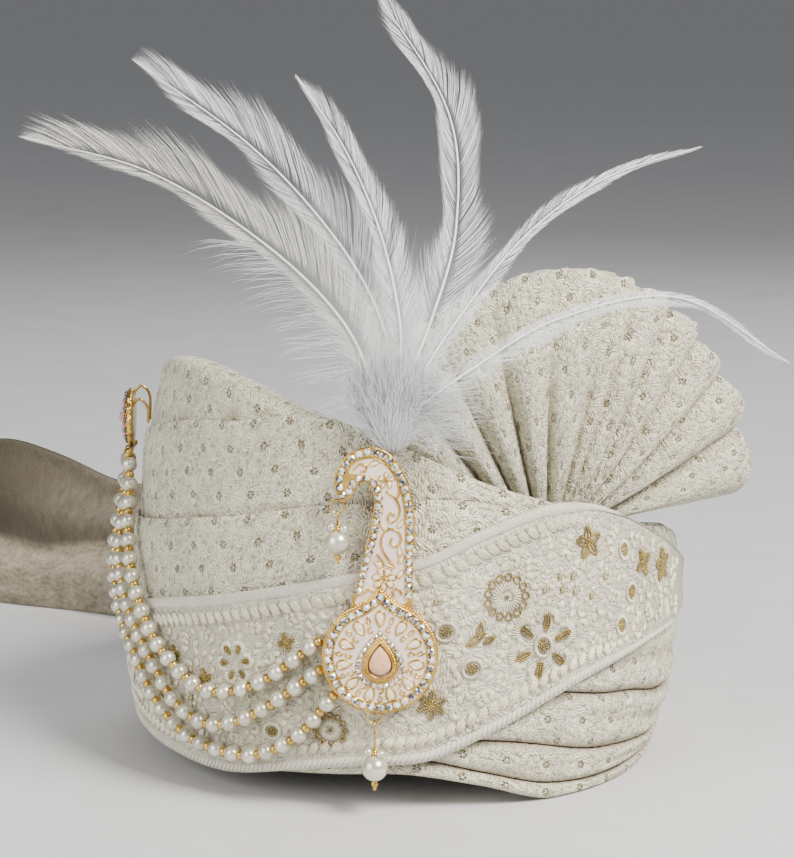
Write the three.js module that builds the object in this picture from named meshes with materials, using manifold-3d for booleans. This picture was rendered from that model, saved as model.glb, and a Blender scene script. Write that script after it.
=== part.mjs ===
// Tied turban (pagri): wound wraps, an embroidered band, a pleated fan, a plume, a brooch and pearl swags.
// Millimetres, +Z up, the front faces -Y. The origin is the centre of the head opening on the resting plane.
// Angles run anticlockwise from +X seen from above, so the front is 270 degrees and the left side 180.
import * as THREE from "three";
import { mergeVertices } from "three/addons/utils/BufferGeometryUtils.js";
import Module from "manifold-3d";

const wasm = await Module();
wasm.setup();

// The turban's outline at the band, and the clearance between pieces
const HALF_WIDTH = 109.6;
const HALF_DEPTH = 125.6;
const GAP = 0.4;
const RING_STEPS = 32;

// How far the faces of each layer lie inside the outline
const CROWN = { outer: 24.4, inner: 27 };
const BODY = { outer: 5.9, foot: 10, inner: 24, topRound: 5, topIn: 3, topBack: 4, lean: 0.2 };
const UPPER = { outer: 3.4, inner: 5.5 };
const LOWER = { outer: 0.7, inner: 3 };
const ROLL = { outer: 0.7, shoulder: 3.6, inner: 9.6, edgeShare: 0.1, lowShare: 0.32, highShare: 0.68 };
const BAND = { outer: -1.7, inner: -0.3 };

// The rounding of a wrap's folded top edge, in front and behind
const EDGE_ROUND = { front: 1.5, back: 1 };

// The outer faces draw in below one height, towards the floor, and above another, towards the top
const DRAW_IN = { lowFrom: 30, highFrom: 80, highSlope: 0.065 };

// Heights round the turban of the top edges of the three wraps
const WRAP_EDGES = [
  { angle: 0, body: 78, upper: 80, lower: 78 },
  { angle: 30, body: 71, upper: 71, lower: 69 },
  { angle: 60, body: 74, upper: 71, lower: 67 },
  { angle: 90, body: 88, upper: 81, lower: 72 },
  { angle: 120, body: 109, upper: 96, lower: 78 },
  { angle: 150, body: 131, upper: 110, lower: 84 },
  { angle: 180, body: 148, upper: 121, lower: 89 },
  { angle: 205, body: 157.5, upper: 132, lower: 95 },
  { angle: 230, body: 152.5, upper: 139.5, lower: 104 },
  { angle: 255, body: 140.5, upper: 143, lower: 112.5 },
  { angle: 270, body: 126, upper: 133, lower: 115 },
  { angle: 285, body: 107, upper: 121, lower: 113 },
  { angle: 300, body: 93, upper: 111, lower: 107 },
  { angle: 320, body: 84, upper: 99, lower: 98 },
  { angle: 340, body: 81, upper: 91.5, lower: 90 },
];

// Heights round the turban of the rolls' top, of the folds between them and of their foot.
// The tuck is how far the outer faces draw in at the floor.
const ROLL_EDGES = [
  { angle: 0, rollTop: 56, foldA: 27, foldB: 11, foldC: 4, foot: 0, tuck: 10 },
  { angle: 30, rollTop: 57, foldA: 31, foldB: 16, foldC: 6, foot: 0, tuck: 8 },
  { angle: 60, rollTop: 58, foldA: 38, foldB: 22, foldC: 9, foot: 0, tuck: 6 },
  { angle: 90, rollTop: 58, foldA: 41, foldB: 26, foldC: 12, foot: 0, tuck: 6 },
  { angle: 120, rollTop: 58, foldA: 42, foldB: 28, foldC: 13, foot: 0, tuck: 6 },
  { angle: 150, rollTop: 57, foldA: 42, foldB: 28, foldC: 14, foot: 0, tuck: 6 },
  { angle: 180, rollTop: 55, foldA: 42, foldB: 28, foldC: 15, foot: 2, tuck: 6 },
  { angle: 205, rollTop: 53, foldA: 41, foldB: 29, foldC: 17, foot: 7, tuck: 6 },
  { angle: 230, rollTop: 52, foldA: 40, foldB: 29, foldC: 18, foot: 9, tuck: 6 },
  { angle: 255, rollTop: 51, foldA: 40, foldB: 30, foldC: 20, foot: 12, tuck: 5 },
  { angle: 270, rollTop: 50, foldA: 39, foldB: 29, foldC: 20, foot: 13, tuck: 4 },
  { angle: 285, rollTop: 50, foldA: 39, foldB: 26, foldC: 13, foot: 8, tuck: 1.5 },
  { angle: 300, rollTop: 51, foldA: 40, foldB: 20, foldC: 6, foot: 0, tuck: 0.5 },
  { angle: 320, rollTop: 54, foldA: 34, foldB: 13, foldC: 4, foot: 0, tuck: 3 },
  { angle: 340, rollTop: 56, foldA: 28, foldB: 10, foldC: 4, foot: 0, tuck: 8 },
];

// The band's top and bottom edges, from its left end at the back to its right end under the fan
const BAND_EDGES = [
  { angle: 132, top: 54, low: 16 },
  { angle: 150, top: 56, low: 12 },
  { angle: 175, top: 57, low: 10 },
  { angle: 198, top: 61, low: 9.5 },
  { angle: 213, top: 68, low: 8 },
  { angle: 231, top: 75.5, low: 7.5 },
  { angle: 247, top: 83, low: 13 },
  { angle: 260, top: 89, low: 17 },
  { angle: 274, top: 95.5, low: 19.5 },
  { angle: 285, top: 104.5, low: 28 },
  { angle: 297, top: 111, low: 38 },
  { angle: 304, top: 111, low: 43 },
  { angle: 312, top: 107.5, low: 47 },
  { angle: 328, top: 93.5, low: 52.5 },
  { angle: 353, top: 71.5, low: 55 },
  { angle: 378, top: 63, low: 57 },
];
const BAND_STEPS = 26;

// The cap that closes the head hollow: insets of its outer face at each height
const CAP_WALL = CROWN.inner - CROWN.outer;
const CAP_ROWS = [
  { height: 0, inset: CROWN.outer },
  { height: 44, inset: CROWN.outer },
  { height: 68, inset: 33 },
  { height: 86, inset: 56 },
];
const CAP_TOP = 95;

// The pleated fan: its foot sits in the pocket behind the front wraps, its rim stands up and turns back
const FAN = {
  pleats: 13,
  rows: 3,
  footFrom: 297,
  footTo: 315,
  footLift: 12,
  footInset: 16.5,
  footDepth: 2.2,
  footWall: 3,
  rimDepth: 5.2,
  rimWall: 2,
  scallop: 3,
};
const FAN_RIM = [
  { x: -24, y: -93, z: 148 },
  { x: -2, y: -90, z: 172 },
  { x: 27, y: -86, z: 188 },
  { x: 51, y: -84, z: 195 },
  { x: 77, y: -78, z: 192 },
  { x: 97, y: -67, z: 182 },
  { x: 112, y: -57, z: 167 },
  { x: 129, y: -42, z: 136 },
  { x: 134, y: -34, z: 102 },
];

// The loose end: its route over the floor, its height, how far its belly swells, from the wall outwards
const TAIL_WALL = 3;
const TAIL_ROUTE = [
  { x: 8, y: 126.2, height: 50, belly: 0.5 },
  { x: -24, y: 123.2, height: 54, belly: 1 },
  { x: -52, y: 136, height: 55, belly: 6 },
  { x: -80, y: 164, height: 57, belly: 11 },
  { x: -108, y: 192, height: 60, belly: 15 },
  { x: -138, y: 214, height: 64, belly: 16 },
  { x: -170, y: 229, height: 72, belly: 15 },
  { x: -200, y: 242, height: 76, belly: 13 },
  { x: -224, y: 249, height: 74, belly: 11 },
];
// The loose end's cross-section: shares of the belly and of the height, from its top edge to its foot
const TAIL_SECTION = [
  { belly: -0.35, height: 1 },
  { belly: 0.1, height: 0.8 },
  { belly: 0.42, height: 0.58 },
  { belly: 0.86, height: 0.36 },
  { belly: 1, height: 0.16 },
  { belly: 0.75, height: 0 },
];

// The plume: a tuft of down on a quill, and the feathers' routes from it
const TUFT = { x: -5, y: -126.5, z: 154, halfWidth: 16, halfDepth: 7.5, halfHeight: 20 };
const QUILL = { x: -5, y: -124.7, radius: 1.6, low: 116 };
const FEATHER_STEPS = 6;
const FEATHER_THICKNESS = 2.4;
const FEATHERS = [
  {
    width: 22,
    points: [[-9, -127, 150], [-22, -122, 179], [-50, -112, 206], [-92, -100, 231], [-139, -88, 243]],
  },
  {
    width: 17,
    points: [[-6, -126, 152], [-8, -118, 177], [-24, -106, 206], [-55, -92, 239], [-99, -76, 270]],
  },
  {
    width: 11,
    points: [[-4, -126, 154], [-2, -121, 177], [-9, -114, 210], [-22, -106, 240], [-39, -98, 265]],
  },
  {
    width: 20,
    points: [[-2, -126, 154], [9, -119, 180], [18, -108, 213], [15, -96, 253], [-12, -82, 297]],
  },
  {
    width: 11,
    points: [[0, -126, 152], [16, -121, 177], [41, -114, 208], [70, -108, 229], [105, -100, 240]],
  },
  {
    width: 11,
    points: [[1, -127, 147], [23, -126, 163], [55, -122, 181], [98, -112, 187], [139, -98, 162]],
  },
];

// The brooch, drawn in its own plane: x to the right, y up, z to the front, from the centre of its base
const BROOCH_PLACE = { x: -9.3, y: -127.3, z: 59.7 };
const NECK = { thickness: 2.6, enamelDepth: 1, curveSteps: 2 };
const NECK_OUTER = [
  [11.5, 16], [11.8, 34], [12.2, 46], [11.3, 57], [8.6, 66], [3.6, 73], [-3, 75.8], [-10, 73.8],
  [-14.6, 68.6], [-15.9, 62], [-13.6, 56.2],
];
const NECK_INNER = [
  [-10.4, 58], [-8.2, 62.6], [-5, 63.4], [-2.4, 60.6], [-1.8, 55], [-3.8, 44], [-7, 32], [-11, 16],
];
const NECK_FIELD = [
  [8.2, 27], [8.8, 44], [8, 56], [5.6, 64], [1.8, 69.4], [-3, 72], [-8.2, 70.6], [-10.8, 67],
  [-6, 66.3], [-2, 65.4], [0.9, 60], [0.4, 48], [-2.8, 36], [-5.2, 27.5],
];
const BASE = {
  radius: 20.4,
  tipHeight: 25,
  thickness: 5,
  rim: 3.4,
  enamelDepth: 1.2,
  shoulderAngle: 52,
  arcSteps: 8,
  tipSlope: 1.5,
  flankIn: 0.36,
  flankUp: 0.4,
};
const STONE = {
  halfWidth: 3.7,
  halfHeight: 5,
  dome: 3.4,
  bezel: 1.9,
  bezelHeight: 1.4,
  drop: 1.4,
  sides: 16,
};

// The two pearl drops: a loop soldered to the brooch, an eyed pin through the pearl and a ball under it
const DROP_WIRE = 0.75;
const LOOP_RADIUS = 2.5;
const EYE_RADIUS = 1.9;
const DROP_SIDES = 10;
const DROPS = [
  { name: "tip_drop", loopX: -15.2, loopY: 54.4, loopZ: 1.3, stem: 2.8, pearl: 4.5, ball: 1.3 },
  { name: "bottom_drop", loopX: -2, loopY: -22.3, loopZ: 2.8, stem: 8.4, pearl: 4.9, ball: 1.4 },
];

// The swags: pearl size and spacing, and each string's route as angle, height and stand-off from the outline
const PEARL = { radius: 3.4, pitch: 8.4, sides: 9, threadShare: 0.3, waistShare: 0.9, beltShare: 0.46 };
const STRINGS = [
  [[254.3, 64.5, 6.4], [244, 48.5, 6.2], [236, 41.5, 6.2], [229, 40.2, 6.2], [222, 45.5, 6.2],
    [214.5, 54, 6.2], [208.5, 65, 6.2], [202, 77, 4.8], [196, 91, 3.6], [191, 103, 2],
    [187.5, 114, 2.8]],
  [[254.6, 54, 6.4], [244, 38, 6.2], [236.5, 30, 6.2], [229, 27.3, 6.2], [221.5, 32.5, 6.2],
    [214.5, 43.5, 6.2], [207.5, 53.5, 6.3], [200, 64.5, 6.3], [192.5, 76, 5.4], [188, 88, 4],
    [186, 101, 2.6], [183.8, 114, 2.8]],
  [[257, 45, 6.4], [250, 28.5, 6.2], [241, 18.8, 6.2], [232, 17.5, 6.2], [222, 21, 6.2],
    [214, 31.5, 6.2], [207, 43, 6.3], [199, 51.5, 6.4], [190, 63, 6.6], [184.5, 75, 6.6],
    [182, 88, 5.4], [180.6, 101, 4], [180, 114, 2.8]],
];

// The side brooch: a round mount seen edge-on at the left, with a bar for the strings and two hooks
const SIDE = {
  x: -108.6,
  y: -8.5,
  z: 128,
  radius: 11.5,
  thickness: 2.4,
  dome: 3.6,
  sides: 16,
  barLength: 25,
  barHeight: 2.6,
  hookSpread: 9,
  hookWire: 0.55,
  hookTop: 141,
  hookEnd: 126.2,
  hookReach: 101.6,
};

const toRadians = THREE.MathUtils.degToRad;
const mix = THREE.MathUtils.lerp;

// Smooth reading of a table between its rows; a period makes the rows run on round the turban
function readTable(table, key, column, value, period = 0) {
  const first = table[0];
  const last = table[table.length - 1];
  let rows = table;
  let at = value;
  if (period) {
    at = THREE.MathUtils.euclideanModulo(value, period);
    rows = [{ ...last, [key]: last[key] - period }, ...table, { ...first, [key]: first[key] + period },
      { ...table[1], [key]: table[1][key] + period }];
  }
  at = THREE.MathUtils.clamp(at, rows[0][key], rows[rows.length - 1][key]);
  let i = 0;
  while (i < rows.length - 2 && at > rows[i + 1][key]) {
    i += 1;
  }
  const slope = (j) => {
    const before = rows[Math.max(j - 1, 0)];
    const after = rows[Math.min(j + 1, rows.length - 1)];
    return (after[column] - before[column]) / (after[key] - before[key]);
  };
  const span = rows[i + 1][key] - rows[i][key];
  const t = (at - rows[i][key]) / span;
  const rise = rows[i + 1][column] - rows[i][column];
  const a = slope(i) * span;
  const b = slope(i + 1) * span;
  return rows[i][column] + t * (a + t * (3 * rise - 2 * a - b + t * (a + b - 2 * rise)));
}

function edge(column, angle) {
  const table = column in WRAP_EDGES[0] ? WRAP_EDGES : ROLL_EDGES;
  return Math.max(0, readTable(table, "angle", column, angle, 360));
}

// A point of the wall: an angle, an inset from the outline and a height
function wallPoint(angle, inset, height) {
  const low = Math.max(0, 1 - height / DRAW_IN.lowFrom) * edge("tuck", angle);
  const high = Math.max(0, height - DRAW_IN.highFrom) * DRAW_IN.highSlope;
  const share = THREE.MathUtils.clamp(1 - inset / BODY.inner, 0, 1);
  const drawn = inset + (low + high) * share;
  const t = toRadians(angle);
  return new THREE.Vector3((HALF_WIDTH - drawn) * Math.cos(t), (HALF_DEPTH - drawn) * Math.sin(t), height);
}

// An indexed geometry whose faces point outwards, whichever way they were listed
function closedGeometry(points, faces) {
  let volume = 0;
  for (const [a, b, c] of faces) {
    volume += points[a].dot(points[b].clone().cross(points[c]));
  }
  const outward = volume > 0 ? faces : faces.map(([a, b, c]) => [a, c, b]);
  const geometry = new THREE.BufferGeometry();
  geometry.setAttribute("position", new THREE.Float32BufferAttribute(points.flatMap((p) => p.toArray()), 3));
  geometry.setIndex(outward.flat());
  return geometry;
}

function quad(faces, a, b, c, d) {
  faces.push([a, b, c], [a, c, d]);
}

// A solid through closed sections; it runs on round into its first section or is capped at both ends
function loft(sections, runsRound) {
  const size = sections[0].length;
  const points = sections.flat();
  const faces = [];
  const bands = runsRound ? sections.length : sections.length - 1;
  for (let i = 0; i < bands; i += 1) {
    const here = i * size;
    const next = ((i + 1) % sections.length) * size;
    for (let j = 0; j < size; j += 1) {
      const k = (j + 1) % size;
      quad(faces, here + j, here + k, next + k, next + j);
    }
  }
  if (!runsRound) {
    capSection(points, faces, 0, size, false);
    capSection(points, faces, (sections.length - 1) * size, size, true);
  }
  return closedGeometry(points, faces);
}

function capSection(points, faces, start, size, isEnd) {
  const centre = new THREE.Vector3();
  for (let j = 0; j < size; j += 1) {
    centre.addScaledVector(points[start + j], 1 / size);
  }
  points.push(centre);
  const hub = points.length - 1;
  for (let j = 0; j < size; j += 1) {
    const a = start + j;
    const b = start + ((j + 1) % size);
    faces.push(isEnd ? [hub, a, b] : [hub, b, a]);
  }
}

// A sheet of cloth from the grids of its two faces, closed along its border
function sheet(front, back) {
  const rows = front.length;
  const columns = front[0].length;
  const points = [...front.flat(), ...back.flat()];
  const behind = rows * columns;
  const faces = [];
  const at = (i, j) => i * columns + j;
  for (let i = 0; i + 1 < rows; i += 1) {
    for (let j = 0; j + 1 < columns; j += 1) {
      const [a, b, c, d] = [at(i, j), at(i + 1, j), at(i + 1, j + 1), at(i, j + 1)];
      quad(faces, a, d, c, b);
      quad(faces, behind + a, behind + b, behind + c, behind + d);
    }
  }
  const border = [];
  for (let j = 0; j + 1 < columns; j += 1) {
    border.push([at(0, j), at(0, j + 1)], [at(rows - 1, j + 1), at(rows - 1, j)]);
  }
  for (let i = 0; i + 1 < rows; i += 1) {
    border.push([at(i + 1, 0), at(i, 0)], [at(i, columns - 1), at(i + 1, columns - 1)]);
  }
  for (const [a, b] of border) {
    quad(faces, b, a, behind + a, behind + b);
  }
  return closedGeometry(points, faces);
}

// Sections of inset and height pairs, taken round the whole turban
function ringWall(sectionAt) {
  const sections = [];
  for (let i = 0; i < RING_STEPS; i += 1) {
    const angle = (360 * i) / RING_STEPS;
    sections.push(sectionAt(angle).map(([inset, height]) => wallPoint(angle, inset, height)));
  }
  return loft(sections, true);
}

// Joins and cuts
function solid(geometry) {
  const bare = geometry.clone();
  bare.deleteAttribute("normal");
  bare.deleteAttribute("uv");
  const merged = mergeVertices(bare, 1e-4);
  const vertProperties = new Float32Array(merged.attributes.position.array);
  const triVerts = new Uint32Array(merged.index.array);
  return new wasm.Manifold(new wasm.Mesh({ numProp: 3, vertProperties, triVerts }));
}

function joined(...geometries) {
  return geometries.map(solid).reduce((sum, next) => sum.add(next));
}

function geometryOf(manifold) {
  const mesh = manifold.getMesh();
  const geometry = new THREE.BufferGeometry();
  geometry.setAttribute("position", new THREE.BufferAttribute(new Float32Array(mesh.vertProperties), 3));
  geometry.setIndex(new THREE.BufferAttribute(new Uint32Array(mesh.triVerts), 1));
  return geometry;
}

// The wraps

function crownGeometry() {
  const outer = CAP_ROWS.map(({ height, inset }) => [inset, height]);
  const wallAt = (row) => (row === 0 ? 0 : CAP_WALL * Math.min(1, row / 2));
  const inner = CAP_ROWS.map(({ height, inset }, row) => [inset + CAP_WALL, height - wallAt(row) * 0.8]);
  const points = [];
  const faces = [];
  for (let i = 0; i < RING_STEPS; i += 1) {
    const angle = (360 * i) / RING_STEPS;
    const rim = edge("foot", angle) + GAP;
    const section = [...outer, ...inner.toReversed()];
    points.push(...section.map(([inset, height]) => wallPoint(angle, inset, Math.max(rim, height))));
  }
  const size = 2 * CAP_ROWS.length;
  const top = points.push(new THREE.Vector3(0, 0, CAP_TOP)) - 1;
  const ceiling = points.push(new THREE.Vector3(0, 0, CAP_TOP - CAP_WALL)) - 1;
  for (let i = 0; i < RING_STEPS; i += 1) {
    const here = i * size;
    const next = ((i + 1) % RING_STEPS) * size;
    for (let j = 0; j < size; j += 1) {
      const k = (j + 1) % size;
      if (j === CAP_ROWS.length - 1) {
        faces.push([here + j, top, next + j], [ceiling, here + k, next + k]);
      } else {
        quad(faces, here + j, here + k, next + k, next + j);
      }
    }
  }
  return closedGeometry(points, faces);
}

// The body's outer face leans out from its foot to the upper wrap's edge, and in again above it
function bodyInset(angle, height) {
  const from = edge("rollTop", angle);
  const to = edge("upper", angle);
  const leanIn = BODY.lean * Math.max(0, height - to);
  return leanIn + mix(BODY.foot, BODY.outer, THREE.MathUtils.clamp((height - from) / (to - from), 0, 1));
}

function bodyGeometry() {
  return ringWall((angle) => {
    const top = edge("body", angle);
    const shoulder = top - BODY.topRound;
    const turn = Math.min(edge("upper", angle), shoulder - 1);
    const foot = edge("foot", angle);
    return [
      [BODY.foot, foot],
      [BODY.foot, edge("rollTop", angle)],
      [bodyInset(angle, turn), turn],
      [bodyInset(angle, shoulder), shoulder],
      [bodyInset(angle, top) + BODY.topIn, top],
      [BODY.inner - BODY.topBack, top],
      [BODY.inner, shoulder],
      [BODY.inner, foot],
    ];
  });
}

function upperWrapGeometry() {
  return ringWall((angle) => {
    const low = edge("rollTop", angle) + GAP;
    const top = edge("upper", angle);
    const middle = mix(low, top, 0.5);
    const inner = (height) => bodyInset(angle, height) - GAP;
    const roundTop = mix(UPPER.outer, UPPER.inner, 0.5);
    const behind = top - EDGE_ROUND.back;
    const cover = LOWER.inner + GAP;
    return [
      [cover, low],
      [UPPER.outer, middle],
      [UPPER.outer, top - EDGE_ROUND.front],
      [roundTop, top],
      [inner(behind), behind],
      [inner(middle), middle],
      [inner(low), low],
    ];
  });
}

function lowerWrapGeometry() {
  return ringWall((angle) => {
    const low = edge("rollTop", angle) + GAP;
    const top = edge("lower", angle);
    const middle = mix(low, top, 0.5);
    const roundTop = mix(LOWER.outer, LOWER.inner, 0.5);
    return [
      [LOWER.outer, low],
      [LOWER.outer, middle],
      [LOWER.outer, top - EDGE_ROUND.front],
      [roundTop, top],
      [LOWER.inner, top - EDGE_ROUND.back],
      [LOWER.inner, middle],
      [LOWER.inner, low],
    ];
  });
}

// A plump roll between two fold lines
function rollGeometry(upperFold, lowerFold) {
  return ringWall((angle) => {
    const top = edge(upperFold, angle) - GAP / 2;
    const isLowest = lowerFold === "foot";
    const low = edge(lowerFold, angle) + (isLowest ? 0 : GAP / 2);
    const height = top - low;
    const round = isLowest ? 0 : ROLL.edgeShare;
    return [
      [ROLL.shoulder, low + height * round],
      [ROLL.outer, low + height * ROLL.lowShare],
      [ROLL.outer, low + height * ROLL.highShare],
      [ROLL.shoulder, top - height * ROLL.edgeShare],
      [ROLL.inner, top],
      [ROLL.inner, low],
    ];
  });
}

function bandGeometry() {
  const front = [];
  const back = [];
  const from = BAND_EDGES[0].angle;
  const to = BAND_EDGES[BAND_EDGES.length - 1].angle;
  for (let i = 0; i <= BAND_STEPS; i += 1) {
    const angle = mix(from, to, i / BAND_STEPS);
    const top = readTable(BAND_EDGES, "angle", "top", angle);
    const low = readTable(BAND_EDGES, "angle", "low", angle);
    const lowBend = THREE.MathUtils.clamp(DRAW_IN.lowFrom, mix(low, top, 0.04), mix(low, top, 0.7));
    const highBend = THREE.MathUtils.clamp(DRAW_IN.highFrom, mix(lowBend, top, 0.3), mix(low, top, 0.85));
    const heights = [low, lowBend, highBend, top];
    front.push(heights.map((height) => wallPoint(angle, BAND.outer, height)));
    back.push(heights.map((height) => wallPoint(angle, BAND.inner, height)));
  }
  return sheet(front, back);
}

// The fan and the loose end

function fanGeometry() {
  const rim = new THREE.CatmullRomCurve3(FAN_RIM.map(({ x, y, z }) => new THREE.Vector3(x, y, z)));
  const lines = 2 * FAN.pleats;
  const front = [];
  const back = [];
  for (let i = 0; i <= lines; i += 1) {
    const share = i / lines;
    const angle = mix(FAN.footFrom, FAN.footTo, share);
    const lift = 2 * GAP + FAN.footLift * share;
    const foot = wallPoint(angle, FAN.footInset, edge("body", angle) + lift);
    const crest = rim.getPointAt(share);
    const out = crest.clone().sub(foot);
    const normal = rim.getTangentAt(share).cross(out).normalize();
    const side = i % 2 ? 1 : -1;
    crest.addScaledVector(out.normalize(), side * FAN.scallop * 0.5);
    const frontLine = [];
    const backLine = [];
    for (let j = 0; j < FAN.rows; j += 1) {
      const along = j / (FAN.rows - 1);
      const spine = foot.clone().lerp(crest, along);
      const fold = side * mix(FAN.footDepth, FAN.rimDepth, along);
      const wall = mix(FAN.footWall, FAN.rimWall, along);
      frontLine.push(spine.clone().addScaledVector(normal, fold + wall / 2));
      backLine.push(spine.clone().addScaledVector(normal, fold - wall / 2));
    }
    front.push(frontLine);
    back.push(backLine);
  }
  return sheet(front, back);
}

function tailGeometry() {
  const route = new THREE.CatmullRomCurve3(TAIL_ROUTE.map(({ x, y }) => new THREE.Vector3(x, y, 0)));
  const steps = TAIL_ROUTE.length - 1;
  const front = [];
  const back = [];
  TAIL_ROUTE.forEach(({ height, belly }, i) => {
    const place = route.getPoint(i / steps);
    const along = route.getTangent(i / steps);
    const towardsFront = new THREE.Vector3(-along.y, along.x, 0);
    const line = TAIL_SECTION.map((row) => place.clone()
      .addScaledVector(towardsFront, belly * row.belly)
      .setZ(row.height * height));
    const behind = line.map((point) => point.clone().addScaledVector(towardsFront, -TAIL_WALL));
    front.push(line);
    back.push(behind);
  });
  return sheet(front, back);
}

// The plume

function featherGeometry({ width, points }) {
  const route = new THREE.CatmullRomCurve3(points.map((p) => new THREE.Vector3(...p)));
  const sections = [];
  for (let i = 0; i <= FEATHER_STEPS; i += 1) {
    const share = i / FEATHER_STEPS;
    const place = route.getPointAt(share);
    const along = route.getTangentAt(share);
    const facing = new THREE.Vector3(0, -1, 0);
    const across = along.clone().cross(facing).normalize();
    const front = across.clone().cross(along);
    const half = (width / 2) * mix(0.3, 1, Math.sin(Math.PI * Math.min(1, 0.08 + share * 0.9)));
    sections.push([
      place.clone().addScaledVector(across, half),
      place.clone().addScaledVector(front, FEATHER_THICKNESS / 2),
      place.clone().addScaledVector(across, -half),
      place.clone().addScaledVector(front, -FEATHER_THICKNESS / 2),
    ]);
  }
  return loft(sections, false);
}

function plumeGeometry() {
  const tuft = new THREE.SphereGeometry(1, 10, 7);
  tuft.rotateX(Math.PI / 2);
  tuft.scale(TUFT.halfWidth, TUFT.halfDepth, TUFT.halfHeight);
  tuft.translate(TUFT.x, TUFT.y, TUFT.z);
  const length = TUFT.z - QUILL.low;
  const quill = new THREE.CylinderGeometry(QUILL.radius, QUILL.radius, length, 8);
  quill.rotateX(Math.PI / 2);
  quill.translate(QUILL.x, QUILL.y, QUILL.low + length / 2);
  return geometryOf(joined(tuft, quill, ...FEATHERS.map(featherGeometry)));
}

// The brooch

function outlineThrough(...runs) {
  const shape = new THREE.Shape();
  shape.moveTo(...runs[0][0]);
  for (const run of runs) {
    shape.lineTo(...run[0]);
    shape.splineThru(run.slice(1).map(([x, y]) => new THREE.Vector2(x, y)));
  }
  shape.closePath();
  return shape;
}

// A drop outline: a round foot that runs up to a point
function baseOutline(inset) {
  const radius = BASE.radius - inset;
  const tip = BASE.tipHeight - BASE.tipSlope * inset;
  const shoulder = toRadians(BASE.shoulderAngle);
  const x = radius * Math.cos(shoulder);
  const y = radius * Math.sin(shoulder);
  const flankX = x * BASE.flankIn;
  const flankY = mix(y, tip, BASE.flankUp);
  const shape = new THREE.Shape();
  shape.moveTo(0, tip);
  shape.quadraticCurveTo(-flankX, flankY, -x, y);
  shape.absarc(0, 0, radius, Math.PI - shoulder, shoulder, false);
  shape.quadraticCurveTo(flankX, flankY, 0, tip);
  return shape;
}

function stoneOutline(margin) {
  const shape = new THREE.Shape();
  shape.absellipse(0, 0, STONE.halfWidth + margin, STONE.halfHeight + margin, 0, 2 * Math.PI);
  return shape;
}

function plate(shape, from, to, curveSegments) {
  const settings = { depth: to - from, bevelEnabled: false, curveSegments };
  const geometry = new THREE.ExtrudeGeometry(shape, settings);
  geometry.translate(0, 0, from);
  return geometry;
}

// A turned ring of round wire, facing along z
function wireRing(radius, x, y, z, facesSide) {
  const ring = new THREE.TorusGeometry(radius, DROP_WIRE / 2, 5, DROP_SIDES);
  if (facesSide) {
    ring.rotateY(Math.PI / 2);
  }
  ring.translate(x, y, z);
  return ring;
}

function broochFrameGeometry() {
  const neck = plate(outlineThrough(NECK_OUTER, NECK_INNER), 0, NECK.thickness, NECK.curveSteps);
  const base = plate(baseOutline(0), 0, BASE.thickness, BASE.arcSteps);
  const neckFloor = NECK.thickness - NECK.enamelDepth;
  const neckPocket = plate(neckField(GAP), neckFloor, NECK.thickness + 1, NECK.curveSteps);
  const baseFloor = BASE.thickness - BASE.enamelDepth;
  const basePocket = plate(baseOutline(BASE.rim), baseFloor, BASE.thickness + 1, BASE.arcSteps);
  const bezelTop = BASE.thickness + STONE.bezelHeight;
  const bezel = plate(stoneOutline(STONE.bezel), baseFloor - GAP, bezelTop, STONE.sides / 2);
  const seat = plate(stoneOutline(GAP), BASE.thickness, bezelTop + 1, STONE.sides / 2);
  bezel.translate(0, -STONE.drop, 0);
  seat.translate(0, -STONE.drop, 0);
  const loops = DROPS.map((drop) => wireRing(LOOP_RADIUS, drop.loopX, drop.loopY, drop.loopZ, false));
  const body = joined(neck, ...loops).subtract(solid(neckPocket));
  const cup = solid(base).subtract(solid(basePocket)).add(solid(bezel)).subtract(solid(seat));
  return geometryOf(body.add(cup));
}

// The neck's enamel field, with its outline moved outwards by a margin
function neckField(margin) {
  const count = NECK_FIELD.length;
  const points = NECK_FIELD.map(([x, y], i) => {
    const before = NECK_FIELD[(i + count - 1) % count];
    const after = NECK_FIELD[(i + 1) % count];
    const along = new THREE.Vector2(after[0] - before[0], after[1] - before[1]).normalize();
    return new THREE.Vector2(x + along.y * margin, y - along.x * margin);
  });
  const shape = new THREE.Shape();
  shape.moveTo(points[0].x, points[0].y);
  shape.splineThru([...points.slice(1), points[0]]);
  return shape;
}

function neckEnamelGeometry() {
  return plate(neckField(0), NECK.thickness - NECK.enamelDepth + GAP, NECK.thickness, NECK.curveSteps);
}

function baseEnamelGeometry() {
  const shape = baseOutline(BASE.rim + GAP);
  const hole = new THREE.Path();
  const clear = STONE.bezel + GAP;
  hole.absellipse(0, -STONE.drop, STONE.halfWidth + clear, STONE.halfHeight + clear, 0, 2 * Math.PI);
  shape.holes.push(hole);
  return plate(shape, BASE.thickness - BASE.enamelDepth + GAP, BASE.thickness, BASE.arcSteps);
}

function stoneGeometry() {
  const profile = [
    new THREE.Vector2(0, 0),
    new THREE.Vector2(1, 0),
    new THREE.Vector2(1, 0.3),
    new THREE.Vector2(0.82, 0.68),
    new THREE.Vector2(0.45, 0.93),
    new THREE.Vector2(0, 1),
  ];
  const stone = new THREE.LatheGeometry(profile, STONE.sides);
  stone.rotateX(Math.PI / 2);
  stone.scale(STONE.halfWidth, STONE.halfHeight, STONE.dome);
  stone.translate(0, -STONE.drop, BASE.thickness + GAP);
  return stone;
}

// Heights down a pearl drop, from the loop
function dropHeights({ loopY, stem, pearl }) {
  const eye = loopY - LOOP_RADIUS - EYE_RADIUS + DROP_WIRE + GAP;
  const pearlTop = eye - EYE_RADIUS - DROP_WIRE - stem;
  const pearlCentre = pearlTop - pearl * 0.96;
  return { eye, pearlCentre, pearlFoot: pearlCentre - pearl * 0.96 };
}

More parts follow.
